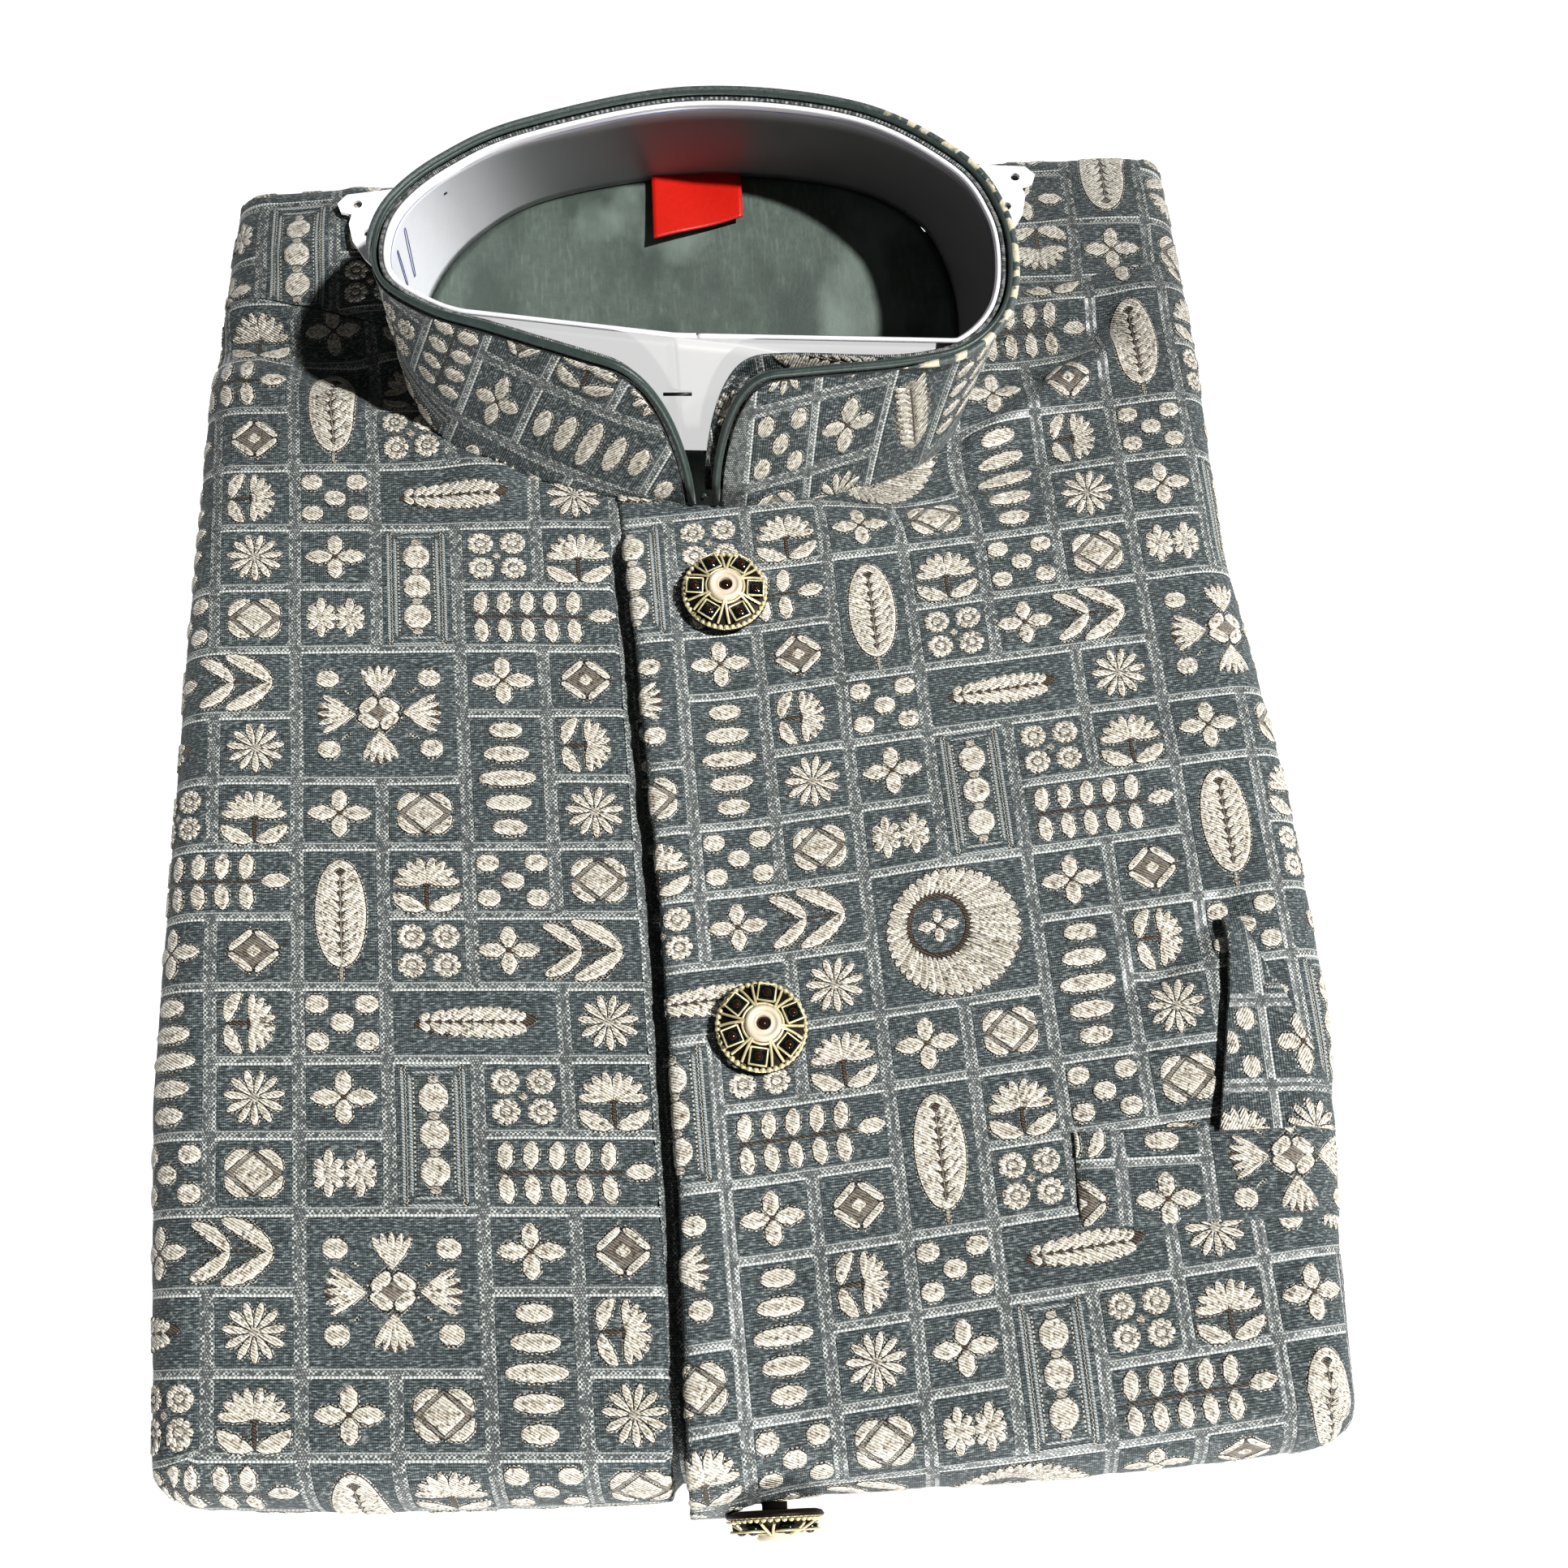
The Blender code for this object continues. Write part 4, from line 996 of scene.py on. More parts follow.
# Where the collar's motifs lie on the wearer's left of its opening
COLLAR_RIGHT = (
    # motif, middle column, middle row
    ("five_dots", 3.98, 0.5),
    ("four_petal", 3.98, 1.5),
    ("daisy", 4.98, 1.5),
    ("daisy", 4.98, 0.5),
    ("upright_leaf", 3.80, 2.48),
    ("spray", 3.98, 3.5),
    ("daisy", 2.98, 1.5),
    ("medallion", 2.98, 0.5),
    ("diamond", 3.48, 4.5),
    ("lotus", 4.48, 4.5),
)

LAYERS = (
    # kind, its look, height above the cloth and its stamp for each motif
    ("cells", "ground", 0.05, {motif: Stamp(cell, *size) for motif, (_, size) in MOTIFS.items()}),
    ("lines", "lines", 0.05, {motif: Stamp(cell_lines, *size) for motif, (_, size) in MOTIFS.items()}),
    ("motifs", "thread", 0.12, {motif: Stamp(drawing) for motif, (drawing, _) in MOTIFS.items()}),
)


# Cloth that a pattern lies on


class Panel:
    """Cloth with its own ways across and along, a border, and its place on the brocade's lattice.

    great says which of the two largest motifs comes first.
    """

    def __init__(self, name, place, border, great=0, warp=None):
        self.name, self.place, self.border, self.great, self.warp = name, place, border, great, warp
        lattice = np.array(LATTICES[name])
        self.cells, self.start = lattice[:, :2], lattice[:, 2]

    def kept(self, s, t, faces):
        """Places pulled to the border, which of them were past it, and the faces not wholly past it."""
        in_s, in_t = self.border(s, t)
        past = np.hypot(in_s - s, in_t - t) > 1e-6
        return in_s, in_t, past, faces[~past[faces].all(axis=1)]

    def shell(self, across, along, wall, shift=None):
        """The cloth itself, from places across and along, as thick as wall says."""
        s, t, faces = spread(across, along)
        if shift:
            s = s + shift(t)
        s, t, _, faces = self.kept(s, t, faces)
        points, uv = self.place(s, t), np.column_stack((s, t))
        return make_piece(self.name + "_cloth", points, faces, "band", uv, [self.name], wall)

    def motifs_over(self, box):
        """The motifs whose cells touch a box of places: name, middle column and middle row."""
        spots = np.array([(s, t) for s in box[:2] for t in box[2:]]) @ self.cells.T + self.start
        low, high = spots.min(axis=0), spots.max(axis=0)
        found = []
        for block in range(math.floor(low[0] / BLOCK_COLUMNS) - 1, math.ceil(high[0] / BLOCK_COLUMNS) + 1):
            for turn in range(math.floor(low[1] / BLOCK_ROWS) - 2, math.ceil(high[1] / BLOCK_ROWS) + 2):
                upper = BLOCK_ROWS * turn + BLOCK_ROWS // 2 * (block % 2) - 1
                for motif, column, row in CHART:
                    if motif == "great":
                        motif = ("snowflake", "great_ring")[(block + self.great) % 2]
                    corner = np.array((BLOCK_COLUMNS * block + column, upper + row))
                    size = np.array(MOTIFS[motif][1])
                    if (corner < high).all() and (corner + size > low).all():
                        found.append((motif, *(corner + size / 2)))
        return found

    def lay(self, kind, look, lift, stamps, found):
        """Stamps laid in their cells and raised off the cloth."""
        shapes = []
        for motif, column, row in found:
            points, faces = stamps[motif].points, stamps[motif].faces
            cells = points[:, :2] / (CELL_X, -CELL_Y) + (column, row)
            shapes.append((np.column_stack((cells, points)), faces))
        points, faces = join(shapes)
        s, t = np.linalg.inv(self.cells) @ (points[:, :2] - self.start).T
        if self.warp:
            s, t = self.warp(s, t)
        s, t, past, faces = self.kept(s, t, faces)
        height = np.where(past, 0.0, points[:, 4] + lift)
        places = self.place(s, t) + normals_of(self.place, s, t) * height[:, None]
        places[:, 2] = np.maximum(places[:, 2], 0.0)
        uv, values = points[:, 2:4], {"rim": points[:, 5], "tint": points[:, 6]}
        return make_piece(f"{self.name}_{kind}", places, faces, look, uv, values=values)

    def brocade(self, *box, found=None):
        """All of the pattern over a box of places: dark cells, bright lines and motifs."""
        found = found or self.motifs_over(box)
        return [self.lay(*layer, found) for layer in LAYERS]


def seam_line(s):
    return read_table(SHOULDER_SEAMS, s)


def outside_neck(s, t):
    """Places pushed out of the hole in which the collar stands."""
    x, y = s - NECK_CENTRE[0], t - NECK_CENTRE[1]
    share = np.maximum((neck_radius(np.arctan2(y, x)) - 0.4) / np.maximum(np.hypot(x, y), 1e-6), 1.0)
    return NECK_CENTRE[0] + x * share, NECK_CENTRE[1] + y * share


def side_end(t, side=1.0):
    return half_width(np.clip(t, NEAR_Y + FOLD_REACH, FAR_Y - FAR_REACH), side) - FOLD_REACH + SIDE_RUN


def front_border(low, high):
    def border(s, t):
        t = np.clip(t, near_end(s) - NEAR_RUN, seam_line(s) - SEAM_ROOM)
        return outside_neck(np.clip(s, low(t), high(t)), t)
    return border


def back_border(s, t):
    t = np.clip(t, seam_line(s) + SEAM_ROOM, FAR_Y - FAR_REACH + FAR_RUN)
    return outside_neck(np.clip(s, -side_end(t, -1.0), side_end(t)), t)


# Looks


def linear(red, green, blue):
    """A colour as it looks on a screen, from 0 to 255, made linear."""
    return tuple(((value / 255 + 0.055) / 1.055) ** 2.4 for value in (red, green, blue)) + (1.0,)


class Look:
    """A material built from nodes; a colour of three numbers is as it looks on a screen."""

    def __init__(self, name, roughness, metallic=0.0, sheen=0.0):
        self.made = bpy.data.materials.new(name)
        self.made.use_nodes = True
        self.tree = self.made.node_tree
        self.shader = self.tree.nodes["Principled BSDF"]
        self.shader.inputs["Roughness"].default_value = roughness
        self.shader.inputs["Metallic"].default_value = metallic
        self.shader.inputs["Sheen Weight"].default_value = sheen

    def node(self, kind, **fields):
        made = self.tree.nodes.new("ShaderNode" + kind)
        for key, value in fields.items():
            setattr(made, key, value)
        return made

    def put(self, socket, value):
        if isinstance(value, bpy.types.NodeSocket):
            self.tree.links.new(value, socket)
        elif isinstance(value, tuple) and len(value) == 3:
            socket.default_value = linear(*value)
        else:
            socket.default_value = value

    def math(self, operation, *values):
        made = self.node("Math", operation=operation)
        for socket, value in zip(made.inputs, values):
            self.put(socket, value)
        return made.outputs[0]

    def times(self, first, second, more=0.0):
        return self.math("MULTIPLY_ADD", first, second, more)

    def between(self, value, scale, start):
        """The value scaled and shifted, then held between 0 and 1."""
        return self.math("MINIMUM", self.math("MAXIMUM", self.times(value, scale, start), 0.0), 1.0)

    def mix(self, share, low, high):
        made = self.node("Mix", data_type="RGBA")
        for socket, value in zip((made.inputs["Factor"], made.inputs[6], made.inputs[7]), (share, low, high)):
            self.put(socket, value)
        return made.outputs[2]

    def over(self, body, share, strength, colour):
        """A colour laid over the body, as strongly as share times strength says."""
        return self.mix(self.times(share, strength), body, colour)

    def noise(self, scale, detail=2.0, stretch=(1.0, 1.0, 1.0)):
        mapping = self.node("Mapping")
        mapping.inputs["Scale"].default_value = stretch
        self.put(mapping.inputs["Vector"], self.node("TexCoord").outputs["Object"])
        made = self.node("TexNoise")
        self.put(made.inputs["Vector"], mapping.outputs[0])
        made.inputs["Scale"].default_value = scale
        made.inputs["Detail"].default_value = detail
        return made.outputs[0]

    def spots(self, scale, detail, gain, start, stretch=(1.0, 1.0, 1.0)):
        """Noise with its contrast raised, from 0 to 1."""
        return self.between(self.noise(scale, detail, stretch), gain, start)

    def ways(self):
        """The cloth's places across and along, in millimetres."""
        parts = self.node("SeparateXYZ")
        self.put(parts.inputs[0], self.node("UVMap", uv_map="cloth").outputs[0])
        return parts.outputs[0], parts.outputs[1]

    def stripes(self, way, pitch):
        """0 to 1 and back for each thread."""
        return self.times(self.math("SINE", self.times(way, math.tau / pitch)), 0.5, 0.5)

    def ticks(self, pitch=1.05):
        """Short stitches: 0 or 1 in a checker as fine as the pitch."""
        across, along = self.ways()
        rows = self.math("GREATER_THAN", self.stripes(along, pitch), 0.5)
        columns = self.math("GREATER_THAN", self.stripes(across, pitch), 0.5)
        return self.math("ABSOLUTE", self.math("SUBTRACT", rows, columns))

    def value(self, name):
        return self.node("Attribute", attribute_name=name).outputs["Fac"]

    def colour(self, value):
        self.put(self.shader.inputs["Base Color"], value)

    def brocade(self, colour):
        """Painted shade: the brocade's colour is darkened towards the shoulders and on the collar, where less
        light falls.
        """
        parts = self.node("SeparateXYZ")
        self.put(parts.inputs[0], self.node("TexCoord").outputs["Object"])
        # painted shade: the colour goes up to a third of the way to black towards the shoulders and collar
        share = self.between(parts.outputs[1], 14.0, -0.75)
        self.colour(self.over(colour, share, 0.34, (0.0, 0.0, 0.0, 1.0)))

    def bump(self, height, strength, distance=0.0003):
        made = self.node("Bump")
        made.inputs["Strength"].default_value = strength
        made.inputs["Distance"].default_value = distance
        self.put(made.inputs["Height"], height)
        self.put(self.shader.inputs["Normal"], made.outputs[0])


WEFT = 0.62


def band_look():
    """The lattice's light bands: a grey hatch of fine dots."""
    look = Look("brocade bands", 0.55, sheen=0.1)
    across, along = look.ways()
    row = look.math("ROUND", look.math("DIVIDE", along, WEFT))
    warp = look.stripes(look.times(row, WEFT / 2, across), WEFT)
    dots = look.times(look.stripes(along, WEFT), warp)
    look.brocade(look.over((86, 91, 91), dots, look.spots(900.0, 3.0, 7.0, -3.0), (216, 219, 213)))
    look.bump(dots, 0.8, 0.00025)
    return look.made


def ground_look():
    """The dark cells: slate grey with fine lines along the weft, and specks of light and dark."""
    look = Look("brocade ground", 0.62, sheen=0.06)
    across, along = look.ways()
    weft, warp = look.stripes(along, WEFT), look.stripes(across, 0.5)
    fine = look.noise(1500.0, 2.0, (0.55, 1.7, 1.0))
    thread = look.mix(weft, (38, 43, 44), (94, 103, 104))
    thread = look.over(thread, warp, 0.34, (46, 52, 53))
    thread = look.over(thread, look.noise(26.0), 0.30, (78, 94, 97))
    thread = look.over(thread, look.between(fine, -9.0, 4.0), 0.8, (26, 29, 29))
    look.brocade(look.over(thread, look.between(fine, 9.0, -4.9), 0.6, (168, 176, 174)))
    look.bump(look.times(warp, 0.5, weft), 0.6, 0.00025)
    return look.made


def lines_look():
    """The bright threads on either side of a band."""
    look = Look("brocade bright lines", 0.42, sheen=0.1)
    beads = look.stripes(look.ways()[0], 0.9)
    bright = look.mix(beads, (146, 150, 147), (236, 238, 232))
    bright = look.mix(look.value("tint"), bright, (128, 134, 133))
    twist = look.over((80, 85, 85), look.ticks(), look.spots(800.0, 2.0, 6.0, -2.4), (204, 208, 202))
    look.brocade(look.mix(look.math("LESS_THAN", look.value("rim"), -0.5), bright, twist))
    return look.made


def thread_look():
    """The motifs' raised threads: cream at the border, tan inside, with a dark fringe of ticks that is partly
    the weave's outline and partly painted shadow, and near-white specks that are painted glints.
    """
    look = Look("brocade motif threads", 0.40, sheen=0.1)
    across, along = look.ways()
    tint, rim = look.value("tint"), look.value("rim")
    mottle = look.noise(1300.0, 3.0)
    slant = look.stripes(look.times(across, 0.6, along), 0.68)
    cream = look.mix(slant, (200, 192, 172), (252, 249, 238))
    tan = look.mix(slant, (130, 114, 96), (224, 216, 198))
    inner = look.times(look.math("SUBTRACT", rim, 0.7), look.spots(420.0, 2.0, 1.8, -0.25))
    body = look.mix(look.between(inner, 1.0, 0.0), cream, tan)
    body = look.over(body, look.between(mottle, -8.0, 3.6), 0.9, (74, 60, 50))
    # painted glints: near-white specks where the fine mottle is highest
    body = look.mix(look.between(mottle, 10.0, -5.6), body, (255, 253, 246))
    brown = look.over((36, 29, 25), slant, mottle, (150, 128, 108))
    grey = look.mix(slant, (116, 122, 122), (196, 201, 198))
    body = look.mix(look.between(tint, 1.0, 0.0), body, brown)
    body = look.mix(look.between(tint, -1.0, 0.0), body, grey)
    # dark where rim is below 0: the fringes, partly the weave's outline and partly painted shadow round the
    # raised threads, and the ladder ticks
    dark = look.over((24, 22, 20), look.ticks(), look.between(rim, -4.0, -1.0), (214, 208, 192))
    look.brocade(look.mix(look.between(rim, -3.5, 0.95), body, dark))
    look.bump(look.math("ADD", slant, mottle), 0.7)
    return look.made


def roll_look():
    """The brocade where it rolls over the collar's edge: bits of cream motif between slate."""
    look = Look("brocade edge roll", 0.5, sheen=0.1)
    along = look.ways()[0]
    fine = look.noise(1200.0, 3.0)
    uneven = look.times(look.noise(90.0), 14.0, along)
    bits = look.math("GREATER_THAN", look.stripes(uneven, 7.0), 0.35)
    bits = look.times(bits, look.spots(210.0, 3.0, 14.0, -6.0))
    bits = look.times(bits, look.between(along, -0.08, 9.0))
    slate = look.mix(fine, (30, 38, 38), (104, 114, 112))
    cream = look.mix(fine, (150, 138, 108), (248, 240, 214))
    look.colour(look.mix(bits, slate, cream))
    look.bump(fine, 0.6)
    return look.made


def cloth_look(name, low, high, pitch=0.7, slub=None, roughness=0.6, sheen=0.1):
    """A plain cloth of two shades, with slubs if it has them."""
    look = Look(name, roughness, sheen=sheen)
    body = look.mix(look.noise(500.0, 3.0), low, high)
    if slub:
        body = look.over(body, look.spots(300.0, 3.0, 5.0, -2.6, (4.0, 0.6, 1.0)), 0.32, slub)
        body = look.over(body, look.spots(46.0, 4.0, 7.0, -3.2, (1.2, 0.7, 1.0)), 0.75, (60, 70, 64))
        body = look.over(body, look.spots(30.0, 4.0, 9.0, -4.9, (1.1, 0.8, 1.0)), 0.7, (122, 135, 126))
    look.colour(body)
    look.bump(look.noise(1.0 / (pitch * MM)), 0.4, 0.0002)
    return look.made


def plain_look(name, colour, roughness, metallic=0.0, change=0.06, scale=300.0, dents=0.0, glow=0.0):
    look = Look(name, roughness, metallic)
    look.put(look.shader.inputs["Emission Color"], (1.0, 1.0, 1.0, 1.0))
    look.put(look.shader.inputs["Emission Strength"], glow)
    body = linear(*colour)
    dark = tuple(value * (1.0 - change) for value in body[:3]) + (1.0,)
    look.colour(look.mix(look.noise(scale, 3.0), body, dark))
    if dents:
        look.bump(look.noise(scale), dents)
    return look.made


def loop_look():
    """The white sheet's inside, with painted shade: greyer round the back, where little light reaches."""
    look = Look("white card inside", 0.3)
    body = look.mix(look.noise(300.0, 3.0), (248, 248, 251), (240, 240, 244))
    # painted shade: the far attribute greys the inside round the back
    look.colour(look.mix(look.value("far"), body, (150, 147, 149)))
    return look.made


LOOKS = {
    "band": band_look(),
    "ground": ground_look(),
    "lines": lines_look(),
    "thread": thread_look(),
    "hidden": cloth_look("brocade edges", (70, 84, 90), (112, 124, 128)),
    "piping": cloth_look("piping cloth", (36, 48, 45), (64, 78, 72), 0.5, roughness=0.42, sheen=0.2),
    "roll": roll_look(),
    "seam": cloth_look("seam thread", (22, 28, 28), (38, 46, 44)),
    "lining": cloth_look("lining cloth", (70, 81, 75), (94, 105, 97), slub=(122, 134, 124), sheen=0.1),
    "label": plain_look("label satin", (205, 36, 22), 0.38, change=0.2, scale=900.0, dents=0.2),
    "card": plain_look("white card", (246, 246, 249), 0.35),
    "card_loop_painted_shade": loop_look(),
    # painted light: the band's front glows by emission, standing in for light shining through the sheet
    "card_front_painted_glow": plain_look("white card with painted glow", (112, 110, 109), 0.4, glow=0.54),
    "pencil": plain_look("pencil line", (98, 102, 150), 0.5),
    "gold": plain_look("pale gold", (244, 232, 188), 0.36, 0.35, change=0.4, scale=1200.0, dents=0.25),
    "gold_dark": plain_look("dark gold", (44, 34, 24), 0.5, 0.6, change=0.5, scale=900.0, dents=0.4),
    "stone": plain_look("dark stones", (14, 24, 22), 0.12, change=0.5),
    "gem": plain_look("brown gems", (52, 30, 20), 0.08, change=0.5),
    "pearl": plain_look("cream enamel", (222, 208, 186), 0.3, change=0.2),
    "steel": plain_look("steel", (150, 150, 152), 0.3, 1.0),
    "black": plain_look("blackened wire", (18, 18, 20), 0.4),
    "floor": plain_look("pale floor", (70, 70, 70), 0.9, change=0.01, glow=1.0),
}

# Cloth pieces: the piece, how it is held, what it lies on and the pattern on it
SHEETS = []


# The body's panels


def drawn_in(s, t):
    """The pattern is eased towards the chest at the collar's right foot."""
    (x, reach_x, shift_x), (y, reach_y, shift_y) = DRAWN_IN
    share = np.exp(-(((s - x) / reach_x) ** 2) - ((t - y) / reach_y) ** 2)
    return s - shift_x * share, t - shift_y * share


def make_fronts():
    near = NEAR_Y + FOLD_REACH - NEAR_RUN
    rows = steps(near, FRONT_TOP, CLOTH_STEP)
    right = Panel(
        "front_right", on_front_right,
        front_border(lambda t: -side_end(t, -1.0), lambda t: edge_at(t) + UNDERLAP),
    )
    shell = right.shell(steps(-CLOTH_HALF, UNDERLAP + 1.0, CLOTH_STEP), rows, 1.0, edge_at)
    SHEETS.append((shell, "folded", "folded_layers", right.brocade(-CLOTH_HALF, 0.0, near, PATTERN_TOP)))

    roll = -math.pi * EDGE_ROLL
    left = Panel(
        "front_left", on_front_left,
        front_border(lambda t: edge_at(t) + roll - EDGE_TUCK, side_end), great=1, warp=drawn_in,
    )
    across = np.concatenate((
        steps(roll - EDGE_TUCK, roll, 1.4)[:-1], steps(roll, 0.0, 0.4)[:-1], steps(0.0, 182.0, CLOTH_STEP),
    ))
    shell = left.shell(across, rows, 0.8, edge_at)
    SHEETS.append((shell, "folded", "front_right_cloth", left.brocade(-34.0, CLOTH_HALF, near, PATTERN_TOP)))


def make_back():
    back = Panel("back_panel", on_back, back_border)
    low, far = 132.0, FAR_Y - FAR_REACH + FAR_RUN
    shell = back.shell(steps(-CLOTH_HALF, CLOTH_HALF, CLOTH_STEP), steps(low, far, 1.8), 1.0)
    SHEETS.append((shell, "folded", "folded_layers", back.brocade(-CLOTH_HALF, CLOTH_HALF, low, far)))


def make_core():
    """The folded-in layers: rounded leaves at the sides, and the flat underside."""
    near, far = NEAR_Y + FOLD_REACH, FAR_Y - FAR_REACH
    turns = steps(0.0, 90.0, 6.0)[1:]
    ends = steps(-1.0, 1.0, 0.03)[1:-1]
    rim = []
    for side, end in ((1.0, far), (-1.0, near)):
        # share across, y, side and turn: up one side, round its corner, along the end, round the other corner
        rim += [(side, y, side, 0.0) for y in steps(near, far, 3.0)[::int(side)]]
        rim += [(side, end, side, turn) for turn in turns]
        rim += [(-side * share, end, 1.0, 90.0) for share in ends]
        rim += [(-side, end, -side, turn) for turn in turns[::-1]]
    share, flat_y, side, turn = np.array(rim).T
    flat_x = share * (half_width(flat_y, side) - FOLD_REACH)
    flat_y = np.where(flat_y < near + 1e-6, near_end(flat_x), flat_y)
    at_side = smooth(1.0 - turn / 90.0)
    turn = np.radians(turn)
    reach_x = (FOLD_REACH - CORE_INSET) * np.cos(turn) ** CORNER_POWER * side
    end_reach = np.where(flat_y > 0, FAR_REACH, FOLD_REACH) - CORE_INSET
    reach_y = end_reach * np.sin(turn) ** CORNER_POWER * np.where(flat_y > 0, 1.0, -1.0)

    # how far out, how high and which leaf
    profile = [(0.30, 1.35, 0.0), (0.74, 1.35, 0.0)]
    for leaf in range(LEAVES):
        for share in np.linspace(0.0, 1.0, 9)[(1 if leaf else 0):]:
            bulge = math.sqrt(max(1.0 - (2.0 * share - 1.0) ** 2, 0.0))
            profile.append((0.62 + 0.26 * bulge, 1.0 - (leaf + share) / LEAVES, leaf + 1.0))
    profile += [(0.50, 0.0, 0.0), (0.30, 0.0, 0.0)]
    place = np.arange(len(rim)) / len(rim) * math.tau
    points = []
    for out, rise, leaf in profile:
        uneven = 0.06 * np.sin(3 * place + 2.1 * leaf) + 0.03 * np.sin(11 * place + leaf) if leaf else 0.0
        out = mix(0.30, out + uneven * (out - 0.6) * 3.0, at_side**2)
        height = rise * np.maximum(LEAF_HEIGHT * at_side - 0.3, 0.3)
        points.append(np.column_stack((flat_x + reach_x * out, flat_y + reach_y * out, height)))
    lowest = points[-1]
    for share in (0.85, 0.6, 0.3, 0.02):
        points.append(lowest * (share, share, 0.0) + (0.0, 8.0 * (1.0 - share), 0.0))
    grid = np.stack(points)
    grid = np.concatenate((grid, grid[:, :1]), axis=1)
    faces = grid_faces(*grid.shape[:2])[:, ::-1]
    grid = grid.reshape(-1, 3)
    make_piece("folded_layers", grid, faces, "hidden", grid[:, :2], ["folded_core"])


# The collar


def ring_place(inset_at):
    """Places on the collar: s is the way round and t the height along the wall."""
    return lambda s, t: ring_surface(s, t / WALL_HEIGHT, inset_at(s))


def ring_border(start, stop, drop):
    def border(s, t):
        s = np.clip(s, start, stop)
        top = end_height(np.minimum(s - start, stop - s)) * WALL_HEIGHT - drop
        return s, np.clip(t, -SKIRT * WALL_HEIGHT / (RIM_Z - SEAM_Z), np.maximum(top, 1.0))
    return border


def around_collar(start, stop, fine, coarse):
    """Places from one end to the other, closer together where the ends are rounded."""
    ends = steps(0.0, END_STRETCH, fine)[:-1]
    middle = steps(start + END_STRETCH, stop - END_STRETCH, coarse)
    return np.concatenate((start + ends, middle, (stop - ends)[::-1]))


def make_collar():
    start = OPENING / 2 + PIPING_ROOM + END_ROOM
    stop = RING_LENGTH - start
    back_start, back_stop = BACK_FROM, RING_LENGTH - BACK_LEFT
    stand, end, back = (
        Panel(name, ring_place(lambda s: 0.0), ring_border(first, last, PIPING_ROOM))
        for name, first, last in (
            ("collar_stand", start, stop),
            ("collar_stand_end", start, stop),
            ("collar_stand_back", back_start, back_stop),
        )
    )
    shell = stand.shell(around_collar(start, stop, 0.8, 1.6), steps(*STAND_ROWS, 1.3), 1.0)
    pattern = stand.brocade(found=COLLAR_RIGHT)
    pattern += end.brocade(back_stop, RING_LENGTH, *STAND_BOX)
    pattern += back.brocade(back_start, back_stop, *STAND_BOX)
    SHEETS.append((shell, "stretched", "collar_facing_cloth", pattern))

    start = OPENING / 2 - FACING_LEAD
    stop = RING_LENGTH - OPENING / 2 - PIPING_ROOM
    facing = Panel("collar_facing", ring_place(facing_inset), ring_border(start, stop, 0.0))
    shell = facing.shell(around_collar(start, stop, 0.8, 1.6), steps(*STAND_ROWS, 1.3), 0.9)
    SHEETS.append((shell, "stretched", "band_loop", facing.brocade(start, 90.0, *STAND_BOX)))

    start = OPENING / 2
    runs = around_collar(start, RING_LENGTH - start, 0.5, 1.2)
    from_end = np.minimum(runs - start, RING_LENGTH - start - runs)
    path = ring_surface(runs, end_height(from_end), PIPING_INSET)
    thick = PIPING_RADIUS - PIPING_THINNER * smooth((from_end - 60.0) / 50.0)
    make_cord("collar_piping_cord", path, thick, "piping", 12, ["collar_piping"])
    drop = np.minimum(end_height(from_end), 1.0) - 1.35 / WALL_HEIGHT
    keep = from_end > 1.2
    path = ring_surface(runs[keep], drop[keep], 0.02)
    make_cord("collar_piping_seam", path, 0.28, "seam", 6)

    # the facing's top edge as a dark cord: partly its edge, partly painted shade of the gap beside the piping
    runs = steps(30.0, RING_LENGTH - 34.0, 1.2)
    path = ring_surface(runs, EDGE_RISE, facing_inset(runs) + 0.45)
    make_cord("collar_facing_edge", path, 0.45, "seam")
    start, stop = ROLL_FROM, RING_LENGTH - BACK_LEFT
    runs = steps(start, stop, 1.2)
    thick = 0.15 + 0.85 * smooth(np.minimum(runs - start, stop - runs) / 12.0)
    make_cord("collar_stand_roll", ring_surface(runs, EDGE_RISE, -0.75), thick, "roll")


